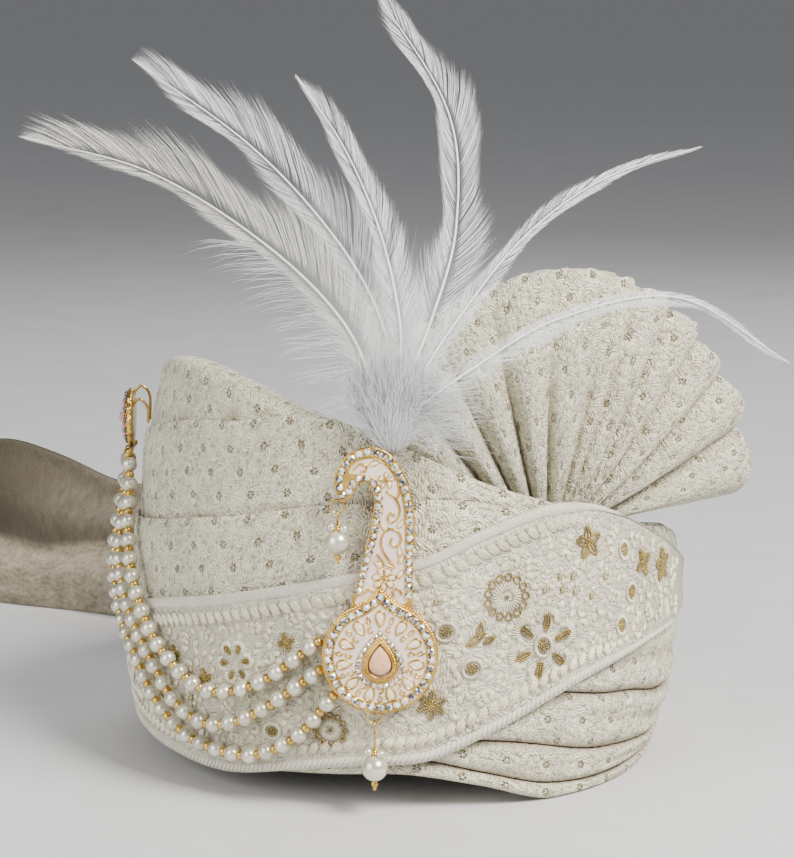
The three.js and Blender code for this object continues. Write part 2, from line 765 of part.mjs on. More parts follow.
function dropPinGeometry(drop) {
  const { eye, pearlFoot } = dropHeights(drop);
  const z = drop.loopZ;
  const low = pearlFoot - drop.ball;
  const top = eye - EYE_RADIUS;
  const pin = new THREE.CylinderGeometry(DROP_WIRE / 2, DROP_WIRE / 2, top - low, 6);
  pin.translate(drop.loopX, mix(low, top, 0.5), z);
  const ball = new THREE.SphereGeometry(drop.ball, DROP_SIDES, 5);
  ball.translate(drop.loopX, low, z);
  return geometryOf(joined(wireRing(EYE_RADIUS, drop.loopX, eye, z, true), pin, ball));
}

// A drilled pearl, turned about its pin
function dropPearlGeometry(drop) {
  const bore = DROP_WIRE / 2 + GAP;
  const profile = [];
  const arcs = 5;
  const bite = Math.asin(bore / drop.pearl);
  for (let i = 0; i <= arcs; i += 1) {
    const t = mix(bite - Math.PI / 2, Math.PI / 2 - bite, i / arcs);
    profile.push(new THREE.Vector2(drop.pearl * Math.cos(t), drop.pearl * 0.96 * Math.sin(t)));
  }
  profile.push(profile[0].clone());
  const pearl = new THREE.LatheGeometry(profile, DROP_SIDES);
  pearl.translate(drop.loopX, dropHeights(drop).pearlCentre, drop.loopZ);
  return pearl;
}

// The swags of pearls

function stringGeometry(rows) {
  const places = rows.map(([angle, height, stand]) => wallPoint(angle, -stand, height));
  const route = new THREE.CatmullRomCurve3(places);
  route.arcLengthDivisions = 400;
  const length = route.getLength();
  const count = Math.round(length / PEARL.pitch);
  const threadEnd = length / count / 2 / PEARL.radius;
  const stations = [
    { along: -threadEnd, width: PEARL.threadShare },
    { along: -PEARL.beltShare, width: PEARL.waistShare },
    { along: PEARL.beltShare, width: PEARL.waistShare },
  ];
  const sections = [];
  for (let i = 0; i < count; i += 1) {
    const share = (i + 0.5) / count;
    const centre = route.getPointAt(share);
    const along = route.getTangentAt(share);
    const outward = new THREE.Vector3(centre.x, centre.y, 0).normalize();
    const side = along.clone().cross(outward).normalize();
    const lift = side.clone().cross(along);
    const ringAt = (station) => {
      const hub = centre.clone().addScaledVector(along, station.along * PEARL.radius);
      const radius = station.width * PEARL.radius;
      return Array.from({ length: PEARL.sides }, (_, k) => {
        const turn = (2 * Math.PI * k) / PEARL.sides;
        return hub.clone()
          .addScaledVector(side, radius * Math.cos(turn))
          .addScaledVector(lift, radius * Math.sin(turn));
      });
    };
    sections.push(...stations.map(ringAt));
    if (i === count - 1) {
      sections.push(ringAt({ along: threadEnd, width: PEARL.threadShare }));
    }
  }
  return loft(sections, false);
}

// The side brooch

function sideFrameGeometry() {
  const disc = new THREE.CylinderGeometry(SIDE.radius, SIDE.radius, SIDE.thickness, SIDE.sides);
  disc.rotateZ(Math.PI / 2);
  disc.translate(SIDE.x, SIDE.y, SIDE.z);
  const bar = new THREE.BoxGeometry(SIDE.thickness, SIDE.barLength, SIDE.barHeight);
  bar.translate(SIDE.x, SIDE.y, SIDE.z - SIDE.radius - SIDE.barHeight / 2 + 0.6);
  const hooks = [-1, 1].map((side) => hookGeometry(SIDE.y + (side * SIDE.hookSpread) / 2));
  return geometryOf(joined(disc, bar, ...hooks));
}

// A wire hook from the mount's back, over the upper wrap's edge
function hookGeometry(y) {
  const back = SIDE.x;
  const route = new THREE.CatmullRomCurve3([
    new THREE.Vector3(back, y, SIDE.z + SIDE.radius * 0.6),
    new THREE.Vector3(back + 1.6, y, SIDE.hookTop - 1.6),
    new THREE.Vector3(mix(back, -SIDE.hookReach, 0.6), y, SIDE.hookTop),
    new THREE.Vector3(-SIDE.hookReach, y, SIDE.hookTop - 4),
    new THREE.Vector3(-SIDE.hookReach, y, SIDE.hookEnd),
  ]);
  const wire = new THREE.Shape();
  wire.absarc(0, 0, SIDE.hookWire, 0, 2 * Math.PI);
  return new THREE.ExtrudeGeometry(wire, { steps: 7, extrudePath: route, curveSegments: 3 });
}

function sideStonesGeometry() {
  const profile = [
    new THREE.Vector2(0, 0),
    new THREE.Vector2(SIDE.radius - 1, 0),
    new THREE.Vector2(SIDE.radius - 1.6, SIDE.dome * 0.5),
    new THREE.Vector2(SIDE.radius * 0.55, SIDE.dome * 0.85),
    new THREE.Vector2(0, SIDE.dome),
  ];
  const dome = new THREE.LatheGeometry(profile, SIDE.sides);
  dome.rotateZ(Math.PI / 2);
  dome.translate(SIDE.x - SIDE.thickness / 2 - GAP, SIDE.y, SIDE.z);
  return dome;
}

// Materials and assembly

function surface(colour, roughness, metalness = 0) {
  return new THREE.MeshStandardMaterial({ color: colour, roughness, metalness });
}

const cloth = surface("#e6dccb", 0.85);
const plainCloth = surface("#d9cdbb", 0.9);
const beigeCloth = surface("#b79f88", 0.9);
const featherWhite = surface("#efe9e0", 0.9);
const gold = surface("#c9a24e", 0.3, 1);
const enamel = surface("#ecd6cf", 0.2);
const pearlWhite = surface("#f0e9de", 0.2);
const peach = surface("#e3b391", 0.1);
const pinkStone = surface("#d8b3ad", 0.15);

const turban = new THREE.Group();

function place(parent, name, geometry, material) {
  const mesh = new THREE.Mesh(geometry, material);
  mesh.name = name;
  parent.add(mesh);
}

place(turban, "crown", crownGeometry(), plainCloth);
place(turban, "wrap_body", bodyGeometry(), cloth);
place(turban, "wrap_upper", upperWrapGeometry(), cloth);
place(turban, "wrap_lower", lowerWrapGeometry(), cloth);
const folds = ["rollTop", "foldA", "foldB", "foldC", "foot"];
for (let i = 0; i + 1 < folds.length; i += 1) {
  place(turban, `side_roll_${i + 1}`, rollGeometry(folds[i], folds[i + 1]), cloth);
}
place(turban, "band", bandGeometry(), cloth);
place(turban, "fan", fanGeometry(), cloth);
place(turban, "tail", tailGeometry(), beigeCloth);
place(turban, "feather_plume", plumeGeometry(), featherWhite);

const brooch = new THREE.Group();
brooch.position.set(BROOCH_PLACE.x, BROOCH_PLACE.y, BROOCH_PLACE.z);
brooch.rotation.x = Math.PI / 2;
turban.add(brooch);
place(brooch, "brooch_frame", broochFrameGeometry(), gold);
place(brooch, "brooch_neck_enamel", neckEnamelGeometry(), enamel);
place(brooch, "brooch_base_enamel", baseEnamelGeometry(), enamel);
place(brooch, "brooch_stone", stoneGeometry(), peach);
for (const drop of DROPS) {
  place(brooch, `${drop.name}_pin`, dropPinGeometry(drop), gold);
  place(brooch, `${drop.name}_pearl`, dropPearlGeometry(drop), pearlWhite);
}

STRINGS.forEach((rows, i) => place(turban, `pearl_string_${i + 1}`, stringGeometry(rows), pearlWhite));
place(turban, "side_brooch_frame", sideFrameGeometry(), gold);
place(turban, "side_brooch_stones", sideStonesGeometry(), pinkStone);

export default turban;
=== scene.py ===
# A tied turban (pagri) in embroidered ivory cloth, dressed over its solids: wraps, band, pleated fan,
# loose end, feather plume, jewelled brooches and swags of pearls.
# Sizes are in millimetres and become metres in the meshes.
import math

import bpy
import numpy as np
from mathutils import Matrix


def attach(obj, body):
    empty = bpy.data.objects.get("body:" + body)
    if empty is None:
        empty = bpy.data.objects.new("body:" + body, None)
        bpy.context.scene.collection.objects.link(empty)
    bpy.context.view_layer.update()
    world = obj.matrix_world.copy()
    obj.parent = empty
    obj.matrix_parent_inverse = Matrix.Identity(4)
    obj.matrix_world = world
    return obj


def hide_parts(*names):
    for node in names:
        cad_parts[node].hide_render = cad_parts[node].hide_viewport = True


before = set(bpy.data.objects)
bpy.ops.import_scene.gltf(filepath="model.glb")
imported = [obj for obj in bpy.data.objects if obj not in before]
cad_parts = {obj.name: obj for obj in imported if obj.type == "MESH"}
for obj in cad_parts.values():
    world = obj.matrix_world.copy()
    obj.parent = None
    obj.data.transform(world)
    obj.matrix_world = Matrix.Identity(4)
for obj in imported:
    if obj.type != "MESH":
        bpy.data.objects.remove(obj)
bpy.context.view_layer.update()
bpy.ops.object.select_all(action="DESELECT")

MM = 0.001
BODY_NAME = "root"


# Tables of the turban's form: angles in degrees round it, heights and insets from its outline

def table(columns, *rows):
    return {name: np.array(values, float) for name, values in zip(columns.split(), zip(*rows))}


HALF_WIDTH = 109.6
HALF_DEPTH = 125.6
LOW_FROM = 30.0
HIGH_FROM = 80.0
HIGH_SLOPE = 0.065
INNER_FACE = 24.0

WRAP_EDGES = table(
    "angle body upper lower",
    (0, 78, 80, 78), (30, 71, 71, 69), (60, 74, 71, 67), (90, 88, 81, 72), (120, 109, 96, 78),
    (150, 131, 110, 84), (180, 148, 121, 89), (205, 157.5, 132, 95), (230, 152.5, 139.5, 104),
    (255, 140.5, 143, 112.5), (270, 126, 133, 115), (285, 107, 121, 113), (300, 93, 111, 107),
    (320, 84, 99, 98), (340, 81, 91.5, 90),
)
ROLL_EDGES = table(
    "angle roll_top fold_a fold_b fold_c foot tuck",
    (0, 56, 27, 11, 4, 0, 10), (30, 57, 31, 16, 6, 0, 8), (60, 58, 38, 22, 9, 0, 6),
    (90, 58, 41, 26, 12, 0, 6), (120, 58, 42, 28, 13, 0, 6), (150, 57, 42, 28, 14, 0, 6),
    (180, 55, 42, 28, 15, 2, 6), (205, 53, 41, 29, 17, 7, 6), (230, 52, 40, 29, 18, 9, 6),
    (255, 51, 40, 30, 20, 12, 5), (270, 50, 39, 29, 20, 13, 4), (285, 50, 39, 26, 13, 8, 1.5),
    (300, 51, 40, 20, 6, 0, 0.5), (320, 54, 34, 13, 4, 0, 3), (340, 56, 28, 10, 4, 0, 8),
)
BAND_EDGES = table(
    "angle top low",
    (132, 54, 16), (150, 56, 12), (175, 57, 10), (198, 61, 9.5), (213, 68, 8), (231, 75.5, 7.5),
    (247, 83, 13), (260, 89, 17), (274, 95.5, 19.5), (285, 104.5, 28), (297, 111, 38), (304, 111, 43),
    (312, 107.5, 47), (328, 93.5, 52.5), (353, 71.5, 55), (378, 63, 57),
)
BODY_OUTER, BODY_FOOT, BODY_LEAN, BODY_ROUND = 5.9, 10.0, 0.2, 5.0
UPPER_OUTER = 3.4
LOWER_OUTER, LOWER_INNER = 0.7, 3.0
ROLL_OUTER, ROLL_INNER = 0.7, 9.6
BAND_OUTER, BAND_INNER = -1.7, -0.3
CROWN_OUTER, CROWN_WALL = 24.4, 2.6

FAN_RIM = np.array([
    (-24, -93, 148), (-2, -90, 172), (27, -86, 188), (51, -84, 195), (77, -78, 192), (97, -67, 182),
    (112, -57, 167), (129, -42, 136), (134, -34, 102),
], float)
FAN_WIDE = 312.0
FAN_VALLEYS = table(
    "share deep",
    (0, 0.8), (0.09, 0.8), (0.18, 0.9), (0.285, 0.95), (0.39, 0.95), (0.50, 0.9), (0.54, 1.1),
    (0.62, 1.1), (0.70, 1.2), (0.78, 1.1), (0.885, 1), (1, 1),
)
FAN_FOOT = (297, 315)
FAN_FOOT_INSET = 16.5
FAN_LIFT = (0.8, 12.8)

TAIL_ROUTE = table(
    "x y height belly",
    (8, 126.2, 50, 0.5), (-24, 123.2, 54, 1), (-52, 136, 55, 6), (-80, 164, 57, 11), (-108, 192, 60, 15),
    (-138, 214, 64, 16), (-170, 229, 72, 15), (-200, 242, 76, 13), (-224, 249, 74, 11),
)
TAIL_FOLDS = table(
    "share sway rise",
    (0, -0.35, 1), (0.2, 0.05, 0.83), (0.36, 0.6, 0.66), (0.46, 0.46, 0.5), (0.54, 0.34, 0.44),
    (0.68, 0.95, 0.30), (0.84, 1.0, 0.12), (1, 0.72, 0.0),
)
TAIL_THICK = 2.6

# Each feather: barb length on its left and right, and places along its quill
FEATHERS = [
    (5, 14, [(-9, -127, 150), (-22, -122, 179), (-50, -112, 206), (-92, -100, 231), (-139, -88, 243)]),
    (6.5, 13, [(-6, -126, 152), (-8, -118, 177), (-24, -106, 206), (-55, -92, 239), (-99, -76, 270)]),
    (5, 6.5, [(-4, -126, 154), (-2, -121, 177), (-9, -114, 210), (-22, -106, 240), (-39, -98, 265)]),
    (7, 9, [(-2, -126, 154), (9, -119, 180), (18, -108, 213), (15, -96, 253), (-12, -82, 297)]),
    (3.2, 3.4, [(0, -126, 152), (16, -121, 177), (41, -114, 208), (70, -108, 229), (105, -100, 240)]),
    (2.2, 5, [(1, -127, 147), (23, -126, 163), (55, -122, 181), (98, -112, 187), (139, -98, 162)]),
]
TUFT = np.array((-5, -126.5, 154), float)

# Each string of pearls: angle, height and stand-off from the outline along its way
PEARL_RADIUS, PEARL_PITCH = 3.4, 8.4
SPACER_RADIUS, STRING_WIRE = 1.9, 0.35
STRINGS = [
    [(254.3, 64.5, 6.4), (244, 48.5, 6.2), (236, 41.5, 6.2), (229, 40.2, 6.2), (222, 45.5, 6.2),
     (214.5, 54, 6.2), (208.5, 65, 6.2), (202, 77, 4.8), (196, 91, 3.6), (191, 103, 2),
     (187.5, 114, 2.8)],
    [(254.6, 54, 6.4), (244, 38, 6.2), (236.5, 30, 6.2), (229, 27.3, 6.2), (221.5, 32.5, 6.2),
     (214.5, 43.5, 6.2), (207.5, 53.5, 6.3), (200, 64.5, 6.3), (192.5, 76, 5.4), (188, 88, 4),
     (186, 101, 2.6), (183.8, 114, 2.8)],
    [(257, 45, 6.4), (250, 28.5, 6.2), (241, 18.8, 6.2), (232, 17.5, 6.2), (222, 21, 6.2),
     (214, 31.5, 6.2), (207, 43, 6.3), (199, 51.5, 6.4), (190, 63, 6.6), (184.5, 75, 6.6),
     (182, 88, 5.4), (180.6, 101, 4), (180, 114, 2.8)],
]

# The brooch, in its own plane: right and up from the middle of its base
BROOCH = np.array((-9.3, -127.3, 59.7))
NECK_OUTER = [(11.5, 16), (11.8, 34), (12.2, 46), (11.3, 57), (8.6, 66), (3.6, 73), (-3, 75.8), (-10, 73.8),
              (-14.6, 68.6), (-15.9, 62), (-13.6, 56.2)]
NECK_INNER = [(-10.4, 58), (-8.2, 62.6), (-5, 63.4), (-2.4, 60.6), (-1.8, 55), (-3.8, 44), (-7, 32),
              (-11, 16)]
NECK_FIELD = [(8.9, 19), (9.0, 30), (9.2, 44), (8.4, 56), (6.0, 64), (2.1, 69.6), (-3, 72.2), (-8.4, 70.8),
              (-11.2, 67), (-6.4, 65.8), (-2.6, 64.8), (0.1, 59.6), (-0.5, 48), (-3.8, 36), (-7.2, 24),
              (-8.2, 19)]
NECK_THICK, BASE_THICK = 2.6, 5.0
BASE_RADIUS, BASE_TIP, BASE_RIM = 20.4, 25.0, 3.4
STONE_DROP = 1.4
# Each drop: name, its loop's place right, up and front, stem, pearl and end ball
DROPS = [("tip_drop", -15.2, 54.4, 1.3, 2.8, 4.5, 1.3), ("bottom_drop", -2.0, -22.3, 2.8, 8.4, 4.9, 1.4)]
LOOP_RADIUS, EYE_RADIUS, DROP_WIRE, CLEAR = 2.5, 1.9, 0.75, 0.4

SIDE = np.array((-108.6, -8.5, 128.0))
SIDE_RADIUS, SIDE_BAR = 11.5, 25.0


# Reading the tables and placing points

def read_table(rows, key, column, at, period=0.0):
    x, y = rows[key], rows[column]
    at = np.asarray(at, float)
    if period:
        at = at % period
        x = np.concatenate(([x[-1] - period], x, [x[0] + period, x[1] + period]))
        y = np.concatenate(([y[-1]], y, y[:2]))
    slope = np.empty(len(x))
    slope[1:-1] = (y[2:] - y[:-2]) / (x[2:] - x[:-2])
    slope[0] = (y[1] - y[0]) / (x[1] - x[0])
    slope[-1] = (y[-1] - y[-2]) / (x[-1] - x[-2])
    at = np.clip(at, x[0], x[-1])
    i = np.clip(np.searchsorted(x, at, side="right") - 1, 0, len(x) - 2)
    span = x[i + 1] - x[i]
    t = (at - x[i]) / span
    rise = y[i + 1] - y[i]
    a, b = slope[i] * span, slope[i + 1] * span
    return y[i] + t * (a + t * (3 * rise - 2 * a - b + t * (a + b - 2 * rise)))


def edge(column, angle):
    rows = WRAP_EDGES if column in WRAP_EDGES else ROLL_EDGES
    return np.maximum(0, read_table(rows, "angle", column, angle, 360.0))


def wall_point(angle, inset, height):
    """Points of the wall from an angle, an inset from the outline and a height."""
    angle, inset, height = np.broadcast_arrays(*(np.asarray(v, float) for v in (angle, inset, height)))
    low = np.maximum(0, 1 - height / LOW_FROM) * edge("tuck", angle)
    high = np.maximum(0, height - HIGH_FROM) * HIGH_SLOPE
    drawn = inset + (low + high) * np.clip(1 - inset / INNER_FACE, 0, 1)
    turn = np.radians(angle)
    return np.stack([(HALF_WIDTH - drawn) * np.cos(turn), (HALF_DEPTH - drawn) * np.sin(turn), height], -1)


def degree_length(angle):
    """Millimetres along the outline in one degree."""
    turn = np.radians(angle)
    return np.radians(1) * np.hypot(HALF_WIDTH * np.sin(turn), HALF_DEPTH * np.cos(turn))


def side_by_side(rows, *parts):
    """The columns of a section in one array, each part spread over all the rows."""
    return np.concatenate([np.broadcast_to(part, (rows, part.shape[1])) for part in parts], 1)


def ripple(angle, height, waves, drift, seed):
    """Soft unevenness that closes round the turban, about -1 to 1."""
    picks = np.random.default_rng(seed)
    total = 0.0
    for _ in range(5):
        count = picks.integers(waves[0], waves[1] + 1)
        lean = picks.uniform(-drift, drift)
        total = total + np.sin(np.radians(angle) * count + height * lean + picks.uniform(0, 2 * math.pi))
    return total / 3.2


def smooth_line(points, per, closed=False):
    """A Catmull-Rom line through the points."""
    p = np.asarray(points, float)
    if closed:
        p = np.concatenate([p[-1:], p, p[:2]])
    else:
        p = np.concatenate([2 * p[:1] - p[1:2], p, 2 * p[-1:] - p[-2:-1]])
    t = np.linspace(0, 1, per, endpoint=False)[:, None]
    runs = []
    for a, b, c, d in zip(p[:-3], p[1:-2], p[2:-1], p[3:]):
        runs.append(0.5 * (2 * b + (c - a) * t + (2 * a - 5 * b + 4 * c - d) * t**2
                           + (3 * b - a - 3 * c + d) * t**3))
    line = np.concatenate(runs)
    return line if closed else np.concatenate([line, p[-2:-1]])


def even_line(line, count, closed=False):
    """The same line again with its points evenly spaced."""
    p = np.concatenate([line, line[:1]]) if closed else line
    run = np.concatenate([[0], np.cumsum(np.linalg.norm(np.diff(p, axis=0), axis=1))])
    at = np.linspace(0, run[-1], count, endpoint=not closed)
    return np.stack([np.interp(at, run, p[:, k]) for k in range(p.shape[1])], -1), run[-1]


def unit(v):
    return v / np.maximum(np.linalg.norm(v, axis=-1, keepdims=True), 1e-9)


def directions(line, closed=False):
    if closed:
        return unit(np.roll(line, -1, 0) - np.roll(line, 1, 0))
    return unit(np.gradient(line, axis=0))


# Meshes from arrays

def add_piece(name, points, faces, material, uv=None, smooth=True, crease=None):
    mesh = bpy.data.meshes.new(name)
    mesh.from_pydata((np.asarray(points) * MM).tolist(), [], [list(map(int, f)) for f in faces])
    if uv is not None:
        layer = mesh.uv_layers.new(name="cloth")
        layer.data.foreach_set("uv", np.asarray(uv, float).ravel() * MM)
    # The crease attribute holds how much painted shade the cloth materials lay on each point.
    if crease is not None:
        depth = mesh.attributes.new("crease", "FLOAT", "POINT")
        depth.data.foreach_set("value", np.ascontiguousarray(crease, dtype=np.float32).ravel())
    mesh.materials.append(material)
    if smooth:
        mesh.shade_smooth()
    piece = bpy.data.objects.new(name, mesh)
    bpy.context.scene.collection.objects.link(piece)
    return piece


def grid(rows, columns, round_rows, round_columns):
    i = np.arange(rows if round_rows else rows - 1)
    j = np.arange(columns if round_columns else columns - 1)
    a, b = (m.ravel() for m in np.meshgrid(i, j, indexing="ij"))
    corners = np.stack([np.stack(c, 1) for c in ((a, b), (a + 1, b), (a + 1, b + 1), (a, b + 1))], 1)
    return (corners[..., 0] % rows) * columns + corners[..., 1] % columns, corners


def running(points, axis, closed):
    """Distance run along one axis of a grid of points."""
    step = np.linalg.norm(np.diff(points, axis=axis), axis=-1)
    if closed:
        last = np.linalg.norm(points.take([0], axis) - points.take([-1], axis), axis=-1)
        step = np.concatenate([step, last], axis)
    return np.concatenate([np.zeros_like(step.take([0], axis)), np.cumsum(step, axis)], axis)


SEAM_ANGLE = 90.0
RING_STEPS = 360


def ring_piece(name, section, material, zero_column):
    """A closed ring of cloth: section(angle) gives insets, heights and painted crease shade, outside first,
    foot up.
    """
    angle = SEAM_ANGLE + 360.0 * np.arange(RING_STEPS)[:, None] / RING_STEPS
    inset, height, crease = section(angle)
    points = wall_point(angle, inset, height)
    rows, columns = points.shape[:2]
    faces, corners = grid(rows, columns, True, True)
    across = running(wall_point(angle, 0, 60)[:, :1], 0, True)[:, 0]
    up = running(points, 1, True)
    up = up - up[:, zero_column:zero_column + 1]
    uv = np.stack([across[corners[..., 0]], up[corners[..., 0] % rows, corners[..., 1]]], -1)
    crease = np.broadcast_to(crease, inset.shape)
    return add_piece(name, points.reshape(-1, 3), faces, material, uv, crease=crease)


def strip_piece(name, points, across, up, material, crease=None):
    """An open strip of cloth through closed sections, whose second half runs back behind the first."""
    rows, columns = points.shape[:2]
    faces, corners = grid(rows, columns, False, True)
    uv = np.stack([across[corners[..., 0]], up[corners[..., 1] % columns]], -1)
    half = columns // 2
    caps, cap_uv = [], []
    for row, is_end in ((0, False), (rows - 1, True)):
        for j in range(half - 1):
            ring = [j, j + 1, columns - 2 - j, columns - 1 - j]
            ring = ring if is_end else ring[::-1]
            caps.append([row * columns + k for k in ring])
            cap_uv.append([(across[row], up[k]) for k in ring])
    faces = np.concatenate([faces, np.array(caps)])
    uv = np.concatenate([uv, np.array(cap_uv)])
    flat = points.reshape(-1, 3)
    a, b, c = flat[faces[:, 0]], flat[faces[:, 1]], flat[faces[:, 2]]
    if np.sum(a * np.cross(b, c)) < 0:
        faces, uv = faces[:, ::-1], uv[:, ::-1]
    return add_piece(name, flat, faces, material, uv, crease=crease)


def strands(start, bend_a, bend_b, end, normal, width, height):
    """Fine lens-shaped strands, as thread stitches, barbs and hairs are: eight points and nine faces each."""
    along = unit(end - start)
    side = unit(np.cross(normal, along)) * (np.asarray(width)[:, None] / 2)
    rise = unit(normal) * np.asarray(height)[:, None]
    points = np.stack([start, bend_a + side, bend_a + rise, bend_a - side,
                       bend_b + side, bend_b + rise, bend_b - side, end], 1)
    shape = [(0, 2, 1), (0, 3, 2), (0, 1, 3), (1, 2, 5, 4), (2, 3, 6, 5), (3, 1, 4, 6),
             (7, 4, 5), (7, 5, 6), (7, 6, 4)]
    faces = [[k * 8 + v for v in f] for k in range(len(points)) for f in shape]
    return points.reshape(-1, 3), faces


def tube(line, radius, sides=6, closed=False):
    """A round wire along a line; the radius may vary along it."""
    line = np.asarray(line, float)
    along = directions(line, closed)
    normal = np.zeros_like(line)
    pick = np.eye(3)[np.argmin(np.abs(along[0]))]
    normal[0] = unit(np.cross(along[0], pick))
    for i in range(1, len(line)):
        normal[i] = unit(normal[i - 1] - along[i] * np.dot(normal[i - 1], along[i]))
    other = np.cross(along, normal)
    turn = 2 * math.pi * np.arange(sides) / sides
    wide = np.broadcast_to(np.asarray(radius, float), (len(line),))[:, None, None]
    ring = normal[:, None] * np.cos(turn)[None, :, None] + other[:, None] * np.sin(turn)[None, :, None]
    points = line[:, None] + ring * wide
    faces, _ = grid(len(line), sides, closed, True)
    faces = [list(f) for f in faces]
    if not closed:
        last = (len(line) - 1) * sides
        faces.append(list(reversed(range(sides))))
        faces.append([last + k for k in range(sides)])
    return points.reshape(-1, 3), faces


def joined(parts):
    """One list of points and faces from several."""
    points, faces, offset = [], [], 0
    for p, f in parts:
        points.append(p)
        faces.extend([[v + offset for v in face] for face in f])
        offset += len(p)
    return np.concatenate(points), faces


def repeat(shape, places, x_axes, y_axes, z_axes, sizes):
    """Copies of a small shape, each at its place, turned and sized."""
    points, faces = shape
    parts = []
    for place, x, y, z, size in zip(places, x_axes, y_axes, z_axes, sizes):
        parts.append((place + (points * size) @ np.stack([x, y, z]), faces))
    return joined(parts)


def take_shape(piece):
    """The points and faces of a modelled shape, which is then put away."""
    points = np.array([v.co for v in piece.data.vertices], float)
    faces = [list(p.vertices) for p in piece.data.polygons]
    bpy.data.objects.remove(piece, do_unlink=True)
    return points, faces


def ball_shape(segments, rings, dimple=1.0):
    """A bead of radius one with its drilled ends pressed in."""
    bpy.ops.mesh.primitive_uv_sphere_add(segments=segments, ring_count=rings, radius=1.0)
    piece = bpy.context.object
    for v in piece.data.vertices:
        v.select = abs(v.co.z) > 0.99
    bpy.ops.object.mode_set(mode="EDIT")
    bpy.ops.mesh.select_mode(type="VERT")
    bpy.ops.transform.resize(value=(1, 1, dimple))
    bpy.ops.object.mode_set(mode="OBJECT")
    return take_shape(piece)


def cut_stone_shape():
    """A round cut stone of girdle radius one: pavilion, girdle, facets and table."""
    bpy.ops.mesh.primitive_cone_add(vertices=8, radius1=1.0, radius2=0.46, depth=0.5, location=(0, 0, 0.25))
    piece = bpy.context.object
    bpy.ops.object.transform_apply(location=True)
    for v in piece.data.vertices:
        v.select = v.co.z < 0.1
    for f in piece.data.polygons:
        f.select = f.normal.z < -0.9
    bpy.ops.object.mode_set(mode="EDIT")
    bpy.ops.mesh.select_mode(type="FACE")
    bpy.ops.mesh.extrude_region_move(TRANSFORM_OT_translate={"value": (0, 0, -0.16)})
    bpy.ops.mesh.extrude_region_move(TRANSFORM_OT_translate={"value": (0, 0, -0.3)})
    bpy.ops.transform.resize(value=(0.55, 0.55, 1))
    bpy.ops.object.mode_set(mode="OBJECT")
    return take_shape(piece)


def cup_shape():
    """A stone's cup of inner radius one, with a rolled lip."""
    bpy.ops.mesh.primitive_cylinder_add(vertices=10, radius=1.18, depth=0.9, location=(0, 0, -0.25))
    piece = bpy.context.object
    bpy.ops.object.transform_apply(location=True)
    for f in piece.data.polygons:
        f.select = f.normal.z > 0.9
    bpy.ops.object.mode_set(mode="EDIT")
    bpy.ops.mesh.select_mode(type="FACE")
    bpy.ops.mesh.inset(thickness=0.16)
    bpy.ops.mesh.extrude_region_move(TRANSFORM_OT_translate={"value": (0, 0, -0.35)})
    bpy.ops.object.mode_set(mode="OBJECT")
    return take_shape(piece)


# Materials

class Wire:
    """A node's output in a material, on which arithmetic adds Math nodes."""

    def __init__(self, tree, socket=None):
        self.tree = tree
        self.socket = socket

    def node(self, kind, settings=None, inputs=None, output=0):
        made = self.tree.nodes.new(kind)
        for key, value in (settings or {}).items():
            setattr(made, key, value)
        for key, value in (inputs or {}).items():
            if isinstance(value, Wire):
                self.tree.links.new(value.socket, made.inputs[key])
            else:
                made.inputs[key].default_value = value
        return Wire(self.tree, made.outputs[output])

    def math(self, operation, *others):
        return self.node("ShaderNodeMath", {"operation": operation}, dict(enumerate((self, *others))))

    def __add__(self, other):
        return self.math("ADD", other)

    __radd__ = __add__

    def __mul__(self, other):
        return self.math("MULTIPLY", other)

    __rmul__ = __mul__

    def __sub__(self, other):
        return self.math("SUBTRACT", other)

    def __rsub__(self, other):
        return self.node("ShaderNodeMath", {"operation": "SUBTRACT"}, {0: other, 1: self})

    def __truediv__(self, other):
        return self.math("DIVIDE", other)

    def between(self, low, high):
        """Nought below low, one above high, smooth between."""
        settings = {"interpolation_type": "SMOOTHSTEP"}
        return self.node("ShaderNodeMapRange", settings, {"Value": self, "From Min": low, "From Max": high})

    def mix(self, dark, light):
        """A colour between two, by this value."""
        inputs = {0: self}
        for key, value in ((6, dark), (7, light)):
            inputs[key] = value if isinstance(value, Wire) else (*value, 1.0)
        return self.node("ShaderNodeMix", {"data_type": "RGBA"}, inputs, 2)


def new_material(name, **sockets):
    material = bpy.data.materials.new(name)
    material.use_nodes = True
    tree = material.node_tree
    shader = tree.nodes["Principled BSDF"]
    for key, value in sockets.items():
        shader.inputs[key.replace("_", " ")].default_value = value
    return material, Wire(tree), shader


def feed(wire, shader, **sockets):
    for key, value in sockets.items():
        wire.tree.links.new(value.socket, shader.inputs[key.replace("_", " ")])


def bump(wire, height, distance):
    return wire.node("ShaderNodeBump", None, {"Height": height, "Distance": distance * MM, "Strength": 1.0})


def cloth_place(wire):
    """The cloth's own place in millimetres, along and up."""
    uv = wire.node("ShaderNodeUVMap", {"uv_map": "cloth"})
    place = wire.node("ShaderNodeVectorMath", {"operation": "SCALE"}, {0: uv, "Scale": 1 / MM})
    along = wire.node("ShaderNodeSeparateXYZ", None, {0: place}, 0)
    up = wire.node("ShaderNodeSeparateXYZ", None, {0: place}, 1)
    return place, along, up


def object_place(wire):
    place = wire.node("ShaderNodeTexCoord", None, None, 3)
    return wire.node("ShaderNodeVectorMath", {"operation": "SCALE"}, {0: place, "Scale": 1 / MM})


def noise(wire, place, size, detail=3.0, roughness=0.55):
    inputs = {"Vector": place, "Scale": 1 / size, "Detail": detail, "Roughness": roughness}
    return wire.node("ShaderNodeTexNoise", None, inputs, 0)


